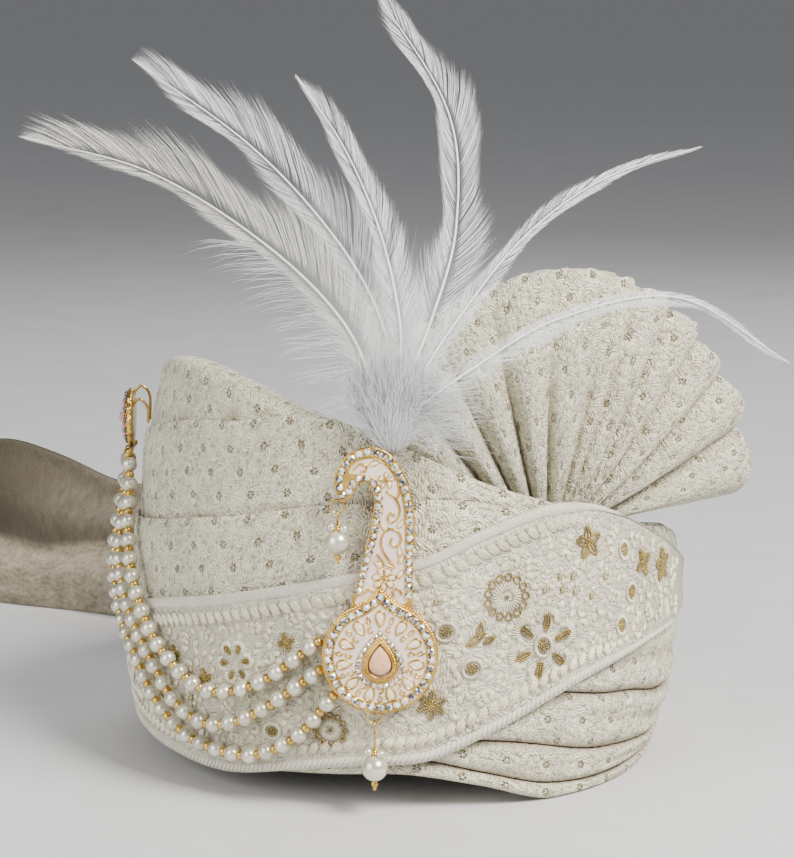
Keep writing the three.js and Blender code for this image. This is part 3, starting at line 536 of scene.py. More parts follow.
def thread_patches(wire, place, along, up, cell, pitch):
    """Rows of thread that run a different way in each small patch, each patch's dome and its painted sheen,
    brighter or duller from patch to patch.
    """
    cells = {"Vector": place, "Scale": 1 / cell, "Randomness": 0.9}
    settings = {"voronoi_dimensions": "2D", "feature": "F1"}
    far = wire.node("ShaderNodeTexVoronoi", settings, cells, 0)
    pick = wire.node("ShaderNodeTexVoronoi", settings, cells, 1)
    turn = wire.node("ShaderNodeSeparateColor", None, {0: pick}, 0) * (2 * math.pi)
    across = along * turn.math("COSINE") + up * turn.math("SINE")
    rows = (across * (2 * math.pi / pitch)).math("SINE") * 0.5 + 0.5
    painted_sheen = wire.node("ShaderNodeSeparateColor", None, {0: pick}, 1)
    return rows, far, painted_sheen


MOTIF_ROW, MOTIF_COLUMN, MOTIF_SLIP, MOTIF_STRAY = 8.8, 17.0, 5.6, 1.4
MOTIF_STROKES = 6
THREAD_PATCH, THREAD_PITCH = 3.3, 1.2


def motif_strokes(wire, place, along, up):
    """Small rings of six gold strokes in slanting rows, with some strokes worn away."""
    row = (up / MOTIF_ROW).math("ROUND")
    y = up - row * MOTIF_ROW
    slid = along + row * MOTIF_SLIP
    x = slid - (slid / MOTIF_COLUMN).math("ROUND") * MOTIF_COLUMN
    x = x + (noise(wire, place, 1.6, 2.0) - 0.5) * MOTIF_STRAY
    y = y + (noise(wire, place, 2.1, 2.0) - 0.5) * MOTIF_STRAY
    far = (x * x + y * y).math("SQRT")
    turn = y.math("ARCTAN2", x) * (MOTIF_STROKES / (2 * math.pi)) + 0.5
    beat = (turn.math("FRACT") - 0.5).math("ABSOLUTE") * 2
    stroke = beat.between(0.9, 0.5)
    ring = far.between(0.3, 0.55) * far.between(1.85, 1.5)
    worn = noise(wire, place, 0.8, 2.0).between(0.3, 0.42)
    return stroke * ring * worn, far


def ivory_cloth(name, motifs, light, shade):
    """Jacquard in small patches of thread, with painted shade in the gaps between threads and patches and in
    the creases, with or without the gold motifs.
    """
    material, wire, shader = new_material(name, Sheen_Weight=0.2, Sheen_Roughness=0.5, Specular_IOR_Level=0.3)
    place, along, up = cloth_place(wire)
    warp = noise(wire, place, 3.0, 3.0) * 1.6
    rows, far, painted_sheen = thread_patches(wire, place, along + warp, up + warp, THREAD_PATCH, THREAD_PITCH)
    puff = far.between(0.75, 0.1)
    fuzz = noise(wire, place, 1.5, 3.0, 0.8)
    broad = noise(wire, place, 22.0, 2.0)
    rows = rows * noise(wire, place, 1.5, 2.0).between(0.3, 0.6)
    tone = (puff * 0.3 + rows * 0.6 + fuzz * 0.85 + broad * 0.2 + painted_sheen * 0.3 - 0.53).between(0.0, 0.6)
    colour = tone.mix(shade, light)
    # Painted shade: colour goes towards CREASE_SHADE where the crease attribute is set, along overlaps, roll
    # folds and pleat valleys.
    crease = wire.node("ShaderNodeAttribute", {"attribute_name": "crease"}, None, 2)
    colour = (crease * (0.45 + broad * 0.5)).between(0.1, 0.9).mix(colour, CREASE_SHADE)
    height = puff * 0.5 + rows * 0.6 * (puff * 0.6 + 0.4) + fuzz * 0.6
    if motifs:
        gold, ring = motif_strokes(wire, place, along, up)
        glint = noise(wire, place, 0.6, 2.0).between(0.42, 0.66)
        colour = gold.mix(colour, glint.mix((0.055, 0.042, 0.02), (0.55, 0.43, 0.20)))
        dimple = ring.between(0.8, 4.5)
        height = height * (dimple * 0.5 + 0.5) + dimple * 0.5 + gold * 0.4
        feed(wire, shader, Metallic=gold * 0.45)
        feed(wire, shader, Roughness=0.85 - gold * 0.4 - rows * 0.15)
    else:
        feed(wire, shader, Roughness=0.85 - rows * 0.2)
    feed(wire, shader, Base_Color=colour, Normal=bump(wire, height, 2.0))
    return material


def woven_cloth(name, light, shade, pitch, depth):
    material, wire, shader = new_material(name, Sheen_Weight=0.15, Specular_IOR_Level=0.1)
    place, along, up = cloth_place(wire)
    warp = (along * (2 * math.pi / pitch)).math("SINE")
    weft = (up * (2 * math.pi / pitch)).math("SINE")
    slub = noise(wire, place, 7.0, 4.0)
    crinkle = noise(wire, place, 2.6, 3.0)
    weave = warp * weft * 0.12 + crinkle * 0.6
    colour = (slub * 0.8 + crinkle * 0.8 - 0.3).between(0.15, 0.85).mix(shade, light)
    # Painted shade: darker where the crease attribute is set, over the loose end's upper fold.
    crease = wire.node("ShaderNodeAttribute", {"attribute_name": "crease"}, None, 2)
    colour = crease.mix(colour, tuple(0.42 * c for c in shade))
    feed(wire, shader, Base_Color=colour, Normal=bump(wire, weave, depth), Roughness=0.95 - slub * 0.15)
    return material


def thread(name, light, shade, metallic, roughness):
    material, wire, shader = new_material(name, Sheen_Weight=0.3, Metallic=metallic)
    place = object_place(wire)
    twist = noise(wire, place, 0.5, 3.0)
    tint = noise(wire, place, 9.0, 2.0)
    colour = (twist * 0.7 + tint * 0.5 - 0.1).between(0.2, 0.8).mix(shade, light)
    feed(wire, shader, Base_Color=colour, Normal=bump(wire, twist, 0.12), Roughness=roughness + twist * 0.2)
    return material


def polished_gold(name):
    material, wire, shader = new_material(name, Metallic=1.0)
    place = object_place(wire)
    tarnish = noise(wire, place, 5.0, 4.0)
    marks = noise(wire, place, 0.8, 3.0)
    colour = tarnish.between(0.3, 0.7).mix((0.50, 0.30, 0.055), (0.82, 0.55, 0.16))
    feed(wire, shader, Base_Color=colour, Roughness=0.18 + tarnish * 0.18, Normal=bump(wire, marks, 0.05))
    return material


def pearl_finish(name):
    material, wire, shader = new_material(name, Coat_Weight=1.0, Coat_Roughness=0.05, Metallic=0.55, IOR=1.7)
    place = object_place(wire)
    cloud = noise(wire, place, 6.0, 2.0)
    skin = noise(wire, place, 1.2, 3.0)
    colour = cloud.between(0.3, 0.7).mix((0.55, 0.52, 0.40), (0.77, 0.745, 0.61))
    feed(wire, shader, Base_Color=colour, Roughness=0.23 + skin * 0.1, Normal=bump(wire, skin, 0.03))
    return material


def gloss_enamel(name, light, shade):
    material, wire, shader = new_material(name, Coat_Weight=0.5, Coat_Roughness=0.1)
    place = object_place(wire)
    cloud = noise(wire, place, 3.0, 3.0)
    pits = noise(wire, place, 0.7, 2.0)
    colour = cloud.between(0.3, 0.7).mix(shade, light)
    feed(wire, shader, Base_Color=colour, Roughness=0.25 + cloud * 0.2, Normal=bump(wire, pits, 0.06))
    return material


def bright_stone(name):
    material, wire, shader = new_material(name, Coat_Weight=1.0, Coat_Roughness=0.02, IOR=2.0)
    place = object_place(wire)
    tint = noise(wire, place, 1.1, 1.0)
    glint = wire.node("ShaderNodeAttribute", {"attribute_name": "glint"}, None, 2)
    colour = (glint + (tint - 0.5) * 0.5).between(0.28, 0.88).mix((0.05, 0.05, 0.065), (1.0, 1.0, 1.0))
    feed(wire, shader, Base_Color=colour, Metallic=0.15 + tint * 0.3, Roughness=0.05 + glint * 0.1)
    return material


def feather_white(name, light, shade):
    material, wire, shader = new_material(name, Sheen_Weight=0.4, Specular_IOR_Level=0.3)
    place = object_place(wire)
    tint = noise(wire, place, 14.0, 3.0)
    fine = noise(wire, place, 1.5, 2.0)
    colour = (tint * 0.8 + fine * 0.3 - 0.1).between(0.2, 0.75).mix(shade, light)
    feed(wire, shader, Base_Color=colour, Roughness=0.75 + fine * 0.2, Normal=bump(wire, fine, 0.1))
    return material


def pale_floor(name):
    material, wire, shader = new_material(name)
    place = object_place(wire)
    cloud = noise(wire, place, 60.0, 3.0)
    colour = cloud.between(0.2, 0.8).mix((0.56, 0.56, 0.57), (0.60, 0.60, 0.61))
    feed(wire, shader, Base_Color=colour, Roughness=0.8 + cloud * 0.1)
    return material


IVORY_LIGHT, IVORY_SHADE = (1.0, 0.955, 0.735), (0.37, 0.315, 0.19)
CREASE_SHADE = (0.42, 0.325, 0.205)
WRAP_CLOTH = ivory_cloth("ivory_motif_cloth", True, IVORY_LIGHT, IVORY_SHADE)
BAND_CLOTH = ivory_cloth("band_ground", False, (0.86, 0.81, 0.64), (0.62, 0.56, 0.42))
TAPE_CLOTH = woven_cloth("smooth_tape", (0.76, 0.72, 0.60), (0.50, 0.455, 0.35), 1.1, 0.9)
CAP_CLOTH = woven_cloth("cap_cloth", (0.66, 0.60, 0.50), (0.52, 0.46, 0.37), 0.9, 0.25)
# The loose end's colours are darkened as painted shade, as it lies in the turban's shadow.
TAIL_CLOTH = woven_cloth("loose_end_cloth", (0.395, 0.345, 0.255), (0.165, 0.135, 0.09), 1.3, 1.4)
IVORY_THREAD = thread("ivory_thread", (1.0, 0.955, 0.745), (0.74, 0.675, 0.485), 0.0, 0.45)
WHITE_TAPE = thread("white_tape", (0.74, 0.705, 0.60), (0.58, 0.54, 0.445), 0.0, 0.4)
GOLD_THREAD = thread("gold_thread", (0.70, 0.51, 0.14), (0.12, 0.08, 0.018), 0.8, 0.28)
GOLD = polished_gold("polished_gold")
PEARL = pearl_finish("pearl_lustre")
PINK_ENAMEL = gloss_enamel("pink_enamel", (0.85, 0.73, 0.68), (0.80, 0.60, 0.50))
WHITE_ENAMEL = gloss_enamel("cream_enamel", (0.90, 0.80, 0.64), (0.84, 0.68, 0.50))
PEACH = gloss_enamel("peach_stone", (0.84, 0.50, 0.29), (0.74, 0.40, 0.21))
ROSE = gloss_enamel("rose_stone", (0.66, 0.36, 0.33), (0.50, 0.24, 0.22))
CRYSTAL = bright_stone("cut_crystal")
FEATHER = feather_white("feather_white", (0.88, 0.90, 0.93), (0.76, 0.78, 0.80))
FEATHER_TIP = feather_white("feather_ivory", (0.86, 0.84, 0.78), (0.72, 0.69, 0.61))
# The down is the feathers' white, darkened as painted shade.
DOWN = feather_white("white_down", (0.66, 0.68, 0.685), (0.51, 0.53, 0.535))


def settle(piece, slot, *nodes):
    """The piece rides on the turban and stands for its solids, which are hidden; its slot is not used."""
    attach(piece, BODY_NAME)
    if nodes:
        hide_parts(*nodes)
    return piece


# The wraps

def body_inset(angle, height):
    low, high = edge("roll_top", angle), edge("upper", angle)
    lean = BODY_LEAN * np.maximum(0, height - high)
    return lean + BODY_FOOT + (BODY_OUTER - BODY_FOOT) * np.clip((height - low) / (high - low), 0, 1)


def body_section(angle):
    foot, top = edge("foot", angle), edge("body", angle)
    top = top + 0.8 * ripple(angle, 0, (3, 9), 0, 11)
    shoulder = top - BODY_ROUND
    climb = np.linspace(0, 1, 18)[None]
    outer_h = foot + (shoulder - foot) * climb
    uneven = 1 + ripple(angle, outer_h, (4, 14), 0.08, 5)
    outer_i = body_inset(angle, outer_h) - 0.5 * np.sin(np.pi * climb) * uneven
    turn = np.linspace(0, math.pi / 2, 7)[None, 1:]
    start = body_inset(angle, shoulder)
    round_i = start + BODY_ROUND * (1 - np.cos(turn))
    round_h = shoulder + BODY_ROUND * np.sin(turn)
    back = np.linspace(0, math.pi / 2, 6)[None]
    inner_i = INNER_FACE - BODY_ROUND * (1 - np.sin(back))
    inner_h = shoulder + BODY_ROUND * np.cos(back)
    drop = np.linspace(0, 1, 8)[None, 1:]
    down_h = shoulder + (foot - shoulder) * drop
    down_i = np.broadcast_to(INNER_FACE, down_h.shape)
    inset = side_by_side(len(angle), outer_i, round_i, inner_i, down_i)
    height = side_by_side(len(angle), outer_h, round_h, inner_h, down_h)
    # Painted shade: a darker line on the body along the upper turn's top edge, where that turn laps over it.
    proud = np.clip((top - edge("upper", angle)) / 8, 0, 1)
    crease = np.clip(1 - np.abs(height - edge("upper", angle)) / 3.5, 0, 1) * proud
    return inset, height, crease


def flat_wrap_section(top_edge, outer, inner_of, seed, cover):
    """A flat turn of cloth with a soft folded top edge."""
    lip, draw = 1.5, 0.55

    def section(angle):
        low = edge("roll_top", angle) + 0.4
        top = edge(top_edge, angle) + 0.5 * ripple(angle, 0, (5, 16), 0, seed)
        climb = (1 - (1 - np.linspace(0, 1, 22)) ** 1.6)[None]
        outer_h = low + (top - lip - low) * climb
        soft = draw * np.clip((outer_h - (top - 8)) / 8, 0, 1) ** 2
        uneven = 0.35 * ripple(angle, outer_h, (5, 22), 0.12, seed + 1)
        off_edge = np.clip((top - outer_h) / 8, 0, 1) * np.clip((outer_h - low) / 8, 0, 1)
        outer_i = outer + soft - uneven * off_edge
        inner_top = inner_of(angle, top - lip)
        start = outer + draw
        turn = np.linspace(0, math.pi, 8)[None, 1:-1]
        lip_i = (start + inner_top) / 2 - (inner_top - start) / 2 * np.cos(turn)
        lip_h = top - lip + lip * np.sin(turn)
        drop = np.linspace(0, 1, 8)[None]
        inner_h = top - lip + (low - top + lip) * drop
        inner_i = inner_of(angle, inner_h)
        inset = side_by_side(len(angle), outer_i, lip_i, inner_i)
        height = side_by_side(len(angle), outer_h, lip_h, inner_h)
        # Painted shade: a darker line along the covering turn's top edge, where it laps over this one.
        proud = np.clip((top - edge(cover, angle)) / 8, 0, 1) if cover else 0.0
        crease = np.clip(1 - np.abs(height - edge(cover or "lower", angle)) / 3.5, 0, 1) * proud
        return inset, height, crease
    return section


FOLD_SEEDS = {"fold_a": 71, "fold_b": 72, "fold_c": 73}


def fold_line(name, angle):
    """The height of a fold between two rolls, which wanders a little along its way."""
    line = edge(name, angle)
    if name in FOLD_SEEDS:
        line = line + 0.9 * ripple(angle, 0, (4, 15), 0, FOLD_SEEDS[name])
    return line


def roll_section(upper_fold, lower_fold, seed):
    """A plump roll between two fold lines, with shallow creases along it."""
    def section(angle):
        top = fold_line(upper_fold, angle) - 0.2
        low = fold_line(lower_fold, angle) + (0 if lower_fold == "foot" else 0.2)
        t = (0.5 - 0.5 * np.cos(np.linspace(0, math.pi, 26)))[None]
        height = low + (top - low) * t
        swell = (1 - np.abs(2 * t - 1) ** 2.1) ** (1 / 2.1)
        tall = np.clip((top - low) / 14, 0.35, 1)
        long_folds = ripple(angle, height, (2, 6), 0.55, seed) * 0.85
        crease = long_folds + ripple(angle, height, (18, 40), 0.25, seed + 3) * 0.25
        gathered = np.clip((angle - 296) / 40, 0, 1) * np.clip((430 - angle) / 40, 0, 1)
        pleats = np.sin(2 * math.pi * (1.7 * t + 0.012 * (angle - 300)) + seed) * gathered
        crease = crease + 1.3 * pleats
        inset = ROLL_INNER - 1 - (ROLL_INNER - 1 - ROLL_OUTER) * (0.6 + 0.4 * swell) * (0.85 + 0.15 * tall)
        inset = np.maximum(inset - crease * swell * tall - 0.4 * swell, ROLL_OUTER - 0.5)
        back = np.linspace(1, 0, 5)[None]
        inner_h = low + (top - low) * back
        rows = len(angle)
        inset = np.concatenate([inset, np.full((rows, 5), ROLL_INNER)], 1)
        # Painted shade: darker towards each roll's edges, in the folds between rolls.
        fold = np.clip(1.15 * (1 - swell) ** 0.8 - 0.35 * crease * swell, 0, 1)
        depth = side_by_side(rows, fold, np.zeros((rows, 5)))
        return inset, np.concatenate([height, inner_h], 1), depth
    return section


def make_wraps():
    body = ring_piece("wound_body", body_section, WRAP_CLOTH, 17)
    settle(body, "ivory_cloth", "wrap_body")
    upper_section = flat_wrap_section("upper", UPPER_OUTER, lambda a, h: body_inset(a, h) - 0.4, 21, "lower")
    upper = ring_piece("upper_turn", upper_section, WRAP_CLOTH, 21)
    settle(upper, "ivory_cloth", "wrap_upper")
    lower_section = flat_wrap_section("lower", LOWER_OUTER, lambda a, h: LOWER_INNER + 0 * h, 31, None)
    lower = ring_piece("lower_turn", lower_section, WRAP_CLOTH, 21)
    settle(lower, "ivory_cloth", "wrap_lower")
    folds = ["roll_top", "fold_a", "fold_b", "fold_c", "foot"]
    for k in range(4):
        section = roll_section(folds[k], folds[k + 1], 41 + 7 * k)
        roll = ring_piece(f"side_fold_{k + 1}", section, WRAP_CLOTH, 13)
        settle(roll, "ivory_cloth", f"side_roll_{k + 1}")


def make_cap():
    """The plain cap inside, with soft gathers towards its crown."""
    turn = np.radians(np.arange(0, 360, 3.0))[:, None]
    angle = np.degrees(turn)
    rim = edge("foot", angle) + 0.4
    wall = rim + (66 - rim) * np.linspace(0, 1, 10)[None]
    share = np.sin(np.linspace(0, math.pi / 2, 14))[None]

    def shell(grow, rise):
        bend = 8.6 * np.clip((wall - 44) / 22, 0, 1) ** 1.6
        side = wall_point(angle, CROWN_OUTER + bend - grow, wall)
        out = 1 - share
        gather = 0.8 * np.sin(24 * turn) * out * share
        x = (HALF_WIDTH - 33 + grow) * out * np.cos(turn)
        y = (HALF_DEPTH - 33 + grow) * out * np.sin(turn)
        z = 67 + (27 + rise) * np.sqrt(np.clip(1 - out**2.2, 0, 1)) + gather
        dome = np.stack([x, y, np.broadcast_to(z, x.shape)], -1)
        return np.concatenate([side, dome], 1)

    outer, inner = shell(0, 0), shell(-CROWN_WALL, -CROWN_WALL)
    points = np.concatenate([outer, inner[:, ::-1]], 1)
    rows, columns = points.shape[:2]
    faces, corners = grid(rows, columns, True, True)
    middle = outer.shape[1] - 1
    keep = corners[:, 0, 1] != middle
    faces, corners = faces[keep], corners[keep]
    across = running(wall_point(angle, CROWN_OUTER, 30)[:, :1], 0, True)[:, 0]
    up = running(points, 1, True)[0]
    uv = np.stack([across[corners[..., 0]], up[corners[..., 1]]], -1)
    cap = add_piece("plain_cap", points.reshape(-1, 3), faces, CAP_CLOTH, uv)
    bpy.context.view_layer.objects.active = cap
    cap.select_set(True)
    bpy.ops.object.mode_set(mode="EDIT")
    bpy.ops.mesh.select_all(action="SELECT")
    bpy.ops.mesh.remove_doubles(threshold=1e-5)
    bpy.ops.object.mode_set(mode="OBJECT")
    cap.select_set(False)
    settle(cap, "plain_cloth", "crown")


# The band and its embroidery

BAND_FROM, BAND_TO = BAND_EDGES["angle"][0], BAND_EDGES["angle"][-1]
TAPE_WIDTH, TAPE_LIFT = 4.0, 0.25
TAPE_FADE = {"upper_tape": (302.0, 320.0), "lower_tape": (312.0, 344.0)}
LEAF_PITCH, STITCH_PITCH, CORD_PITCH = 4.4, 0.62, 2.1


def band_heights(angle):
    return read_table(BAND_EDGES, "angle", "low", angle), read_table(BAND_EDGES, "angle", "top", angle)


def make_band():
    angle = np.linspace(BAND_FROM, BAND_TO, 440)[:, None]
    low, top = band_heights(angle)
    climb = np.linspace(0, 1, 20)[None]
    height = low + (top - low) * climb
    from_edge = np.minimum(height - low, top - height)
    hem = 0.35 * np.clip(1 - np.abs(from_edge - 2.2) / 2.2, 0, 1) - 0.5 * np.clip(1 - from_edge / 1.0, 0, 1)
    uneven = 0.18 * ripple(angle, height, (6, 26), 0.1, 61)
    front = wall_point(angle, BAND_OUTER - hem - uneven * np.clip(from_edge / 6, 0, 1), height)
    back = wall_point(angle, BAND_INNER, height)
    points = np.concatenate([front, back[:, ::-1]], 1)
    across = running(wall_point(angle, BAND_OUTER, 60)[:, :1], 0, False)[:, 0]
    up = running(points, 1, False)[200]
    band = strip_piece("broad_band", points, across, up, BAND_CLOTH)
    settle(band, "band_cloth", "band")
    for name, edge_height, sign in (("upper_tape", top, -1.0), ("lower_tape", low, 1.0)):
        first, last = TAPE_FADE[name]
        wide = np.minimum(TAPE_WIDTH, (top - low) / 3) * np.clip((last - angle) / (last - first), 0.05, 1)
        share = np.linspace(0, 1, 9)[None]
        rise = edge_height + sign * (0.1 + wide * share)
        round_over = TAPE_LIFT * (1 - np.abs(2 * share - 1) ** 4)
        front = wall_point(angle, BAND_OUTER - 0.15 - round_over, rise)
        back = wall_point(angle, BAND_OUTER + 0.1, rise)
        points = np.concatenate([front, back[:, ::-1]], 1)
        up = running(points, 1, False)[200]
        tape = strip_piece(name, points, across, up, TAPE_CLOTH)
        settle(tape, "band_cloth")


class Stitches:
    """Stitches on the band, kept as rows: each runs from one place to another about its centre."""

    def __init__(self):
        self.rows = []

    def add(self, centre, start, end, width, height):
        self.rows.append((*centre, *start, *end, width, height))

    def piece(self, name, material):
        rows = np.array(self.rows)
        angle, height = rows[:, 0], rows[:, 1]
        scale = degree_length(angle)
        lift = BAND_OUTER - 0.12

        def at(k, raised=0.0):
            return wall_point(angle + rows[:, k] / scale, lift - raised, height + rows[:, k + 1])

        start, end = at(2), at(4)
        normal = unit(at(2, 1.0) - at(2))
        bend_a, bend_b = start + (end - start) * 0.28, start + (end - start) * 0.72
        points, faces = strands(start, bend_a, bend_b, end, normal, rows[:, 6], rows[:, 7])
        return add_piece(name, points, faces, material)


def leaf(stitches, centre, root, turn, length, width, threads, height):
    """A leaf of satin stitches laid side by side."""
    along = np.array((math.cos(turn), math.sin(turn)))
    side = np.array((-along[1], along[0]))
    for k in range(threads):
        off = (k + 0.5) / threads * 2 - 1
        reach = math.sqrt(max(0.05, 1 - off * off))
        middle = np.array(root) + along * length / 2 + side * off * width / 2
        half = along * length / 2 * reach
        raised = height * (1 - 0.35 * abs(off))
        stitches.add(centre, middle - half, middle + half, 1.25 * width / threads, raised)


def rays(stitches, centre, inner, outer, count, width, start=0.0, sweep=2 * math.pi, height=0.4):
    """Stitches that stand out from a middle like rays."""
    for k in range(count):
        turn = start + sweep * k / count
        way = np.array((math.cos(turn), math.sin(turn)))
        stitches.add(centre, way * inner, way * outer, width, height)


def gold_oval(gold, ivory, centre, half_w, half_h):
    """An oval filled with gold chain and ringed with ivory stitches."""
    turn = 0.3
    c, s = math.cos(turn), math.sin(turn)
    for ring, share in ((9, 0.8), (6, 0.42), (1, 0.0)):
        for k in range(ring):
            t = 2 * math.pi * k / ring
            x, y = half_w * share * math.cos(t), half_h * share * math.sin(t)
            place = np.array((x * c - y * s, x * s + y * c))
            way = np.array((-math.sin(t + turn), math.cos(t + turn))) * 0.8
            gold.add(centre, place - way, place + way, 0.85, 0.75)
    count = int(26 + 6 * half_w)
    for k in range(count):
        t = 2 * math.pi * k / count
        near = np.array((math.cos(t) * (half_w + 0.3), math.sin(t) * (half_h + 0.3)))
        far = np.array((math.cos(t) * (half_w + 1.9), math.sin(t) * (half_h + 1.9)))
        turned = [np.array((p[0] * c - p[1] * s, p[0] * s + p[1] * c)) for p in (near, far)]
        ivory.add(centre, turned[0], turned[1], 0.6, 0.9)


def gold_bud(gold, ivory, centre):
    """A bud of two curved gold strokes, set among small white petals."""
    for sign in (-1, 1):
        gold.add(centre, (0.35 * sign, -1.3), (0.85 * sign, 0.1), 0.75, 0.75)
        gold.add(centre, (0.85 * sign, -0.1), (0.3 * sign, 1.3), 0.75, 0.75)
    ivory.add(centre, (0, -1.1), (0, 1.1), 0.7, 0.7)
    for k in range(6):
        turn = 0.3 + 2 * math.pi * k / 6
        leaf(ivory, centre, (1.7 * math.cos(turn), 1.7 * math.sin(turn)), turn, 2.4, 1.5, 3, 0.6)


def gold_petal(gold, centre, root, turn, length, width):
    """A petal outlined and filled with short gold strokes."""
    along = np.array((math.cos(turn), math.sin(turn)))
    side = np.array((-along[1], along[0]))
    count = max(3, int(length / 0.85))
    for k in range(count):
        t = (k + 0.5) / count
        wide = width / 2 * math.sin(math.pi * (0.12 + 0.85 * t))
        for sign in (-1, 0, 1):
            place = np.array(root) + along * length * t + side * sign * wide * 0.75
            way = along * 0.7 + side * sign * 0.5
            gold.add(centre, place - way, place + way, 0.72, 0.85)


def loop_flower(gold, ivory, centre, radius, loops):
    """A round flower: a ring of gold loops about white rays."""
    for k in range(loops):
        turn = 2 * math.pi * k / loops
        hub = np.array((math.cos(turn), math.sin(turn))) * radius * 0.86
        for m in range(7):
            t = 2 * math.pi * m / 7
            place = hub + np.array((math.cos(t), math.sin(t))) * radius * 0.15
            way = np.array((-math.sin(t), math.cos(t))) * 0.75
            gold.add(centre, place - way, place + way, 0.85, 0.85)
    rays(ivory, centre, radius * 0.22, radius * 0.72, 28, 0.6, height=0.6)
    for k in range(5):
        turn = 2 * math.pi * k / 5
        place = np.array((math.cos(turn), math.sin(turn))) * 0.7
        gold.add(centre, place * 0.2, place * 1.6, 0.7, 0.6)


def star_flower(gold, ivory, centre, radius, petals, turn, oval):
    """A flower of gold petals, each fringed with white rays, about a middle."""
    for k in range(petals):
        way = turn + 2 * math.pi * k / petals
        hub = np.array((math.cos(way), math.sin(way)))
        gold_petal(gold, centre, hub * radius * 0.44, way, radius * 0.54, radius * 0.24)
        for m in range(17):
            spread = way + (m - 8) * 0.17
            ray = np.array((math.cos(spread), math.sin(spread)))
            root = hub * radius * 0.66 + ray * radius * 0.2
            far = hub * radius * 0.66 + ray * radius * (0.54 if abs(m - 8) < 6 else 0.42)
            ivory.add(centre, root, far, 0.75, 0.8)
    if oval:
        gold_oval(gold, ivory, centre, 2.3, 2.8)


# Gold motifs on the band by angle and height: ovals with their half sizes, dots, sprays with size and
# petals, round flowers with radius and loops, and stars with radius, petals, turn and whether an oval
OVALS = [(277.4, 67.8, 2.6, 2.2), (282.4, 53.7, 2.5, 2.1), (317.1, 89.8, 1.5, 2.3), (319.2, 73.1, 1.8, 2.5),
         (316.2, 61.6, 1.7, 2.4), (243.9, 27.9, 2.2, 1.9)]
DOTS = [(300.3, 84.5), (303.3, 83.8), (297.0, 80.4), (300.8, 79.6), (303.8, 78.0), (311.4, 81.5),
        (307.8, 75.4), (282.0, 33.7), (275.6, 79.0), (262, 64), (224, 34)]
SPRAYS = [(307.4, 95.4, 7.4, 5), (323.5, 83.0, 6.4, 4), (331.5, 79.0, 7.6, 5), (274.8, 41.0, 6.5, 6),
          (227.9, 42.9, 4.2, 4), (218.7, 48.1, 4.5, 4), (247.0, 62.0, 4.0, 4), (258.5, 50, 4.2, 4)]
FLOWERS = [(289.1, 79.3, 8.6, 13), (255.7, 30.7, 6.4, 12)]
STARS = [(296.7, 59.7, 13.0, 6, 0.35, True), (235.7, 51.6, 7.6, 6, 0.2, False)]


GOLD_LEAF_PLACE = (283.9, 66.1)
GOLD_LEAF = [((-5.0, -4.0), 0.62, 8.6, 3.4), ((-0.6, -0.6), 1.35, 5.6, 3.0), ((1.2, -3.4), 0.55, 5.2, 2.6)]


def make_embroidery():
    ivory, gold, tape = Stitches(), Stitches(), Stitches()
    for angle, height, half_w, half_h in OVALS:
        gold_oval(gold, ivory, (angle, height), half_w, half_h)
    for angle, height in DOTS:
        gold_bud(gold, ivory, (angle, height))
    for angle, height, size, petals in SPRAYS:
        for k in range(petals):
            turn = 0.4 + 2 * math.pi * k / petals
            gold_petal(gold, (angle, height), (0, 0), turn, size * 0.85, size * 0.55)
        rays(ivory, (angle, height), size * 0.85, size * 1.2, 26, 0.45)
    for angle, height, radius, loops in FLOWERS:
        loop_flower(gold, ivory, (angle, height), radius, loops)
    for angle, height, radius, petals, turn, oval in STARS:
        star_flower(gold, ivory, (angle, height), radius, petals, turn, oval)
    for root, turn, length, width in GOLD_LEAF:
        gold_petal(gold, GOLD_LEAF_PLACE, root, turn, length, width)
    borders(ivory, tape)
    ground_leaves(ivory)
    settle(ivory.piece("ivory_stitches", IVORY_THREAD), "band_cloth")
    settle(gold.piece("gold_stitches", GOLD_THREAD), "band_cloth")
    settle(tape.piece("tape_stitches", WHITE_TAPE), "band_cloth")


def borders(ivory, tape):
    """The band's edges: stitches over the upper tape, a twisted cord below, and rows of slanting leaves."""
    fine = np.linspace(BAND_FROM + 0.5, BAND_TO - 0.5, 4000)
    for which, sign in ((1, -1.0), (0, 1.0)):
        height = band_heights(fine)[which]
        line = wall_point(fine, BAND_OUTER, height)
        run = np.concatenate([[0], np.cumsum(np.linalg.norm(np.diff(line, axis=0), axis=1))])
        slope = np.arctan(np.gradient(height) / np.gradient(fine) / degree_length(fine))
        room = np.subtract(*band_heights(fine)[::-1])
        first, last = TAPE_FADE["upper_tape" if which else "lower_tape"]
        for at in np.arange(1.5, run[-1] - 1.5, LEAF_PITCH):
            angle, z, tilt, free = (np.interp(at, run, v) for v in (fine, height, slope, room))
            if free > 26 and angle < first + 6:
                root = np.array((-math.sin(tilt), math.cos(tilt))) * sign * 5.0
                small = float(np.clip((first + 10 - angle) / 14, 0.4, 1))
                leaf(ivory, (angle, z), root, tilt + sign * 0.9, 8.2 * small, 2.7, 4, 1.15 * small)
        for at in np.arange(1.2, run[-1] - 1.6, STITCH_PITCH if which else CORD_PITCH):
            angle, z, tilt, free = (np.interp(at, run, v) for v in (fine, height, slope, room))
            way = np.array((math.cos(tilt), math.sin(tilt)))
            up = np.array((-way[1], way[0])) * sign
            wide = min(TAPE_WIDTH, free / 3) * float(np.clip((last - angle) / (last - first), 0, 1))
            if wide > 0.8 and which:
                tape.add((angle, z), up * 0.2 - way * 0.9, up * wide + way * 1.5, 0.95, 0.5)
            elif wide > 0.8:
                tape.add((angle, z), up * 0.1 - way * 1.6, up * wide + way * 2.0, 2.3, 1.15)


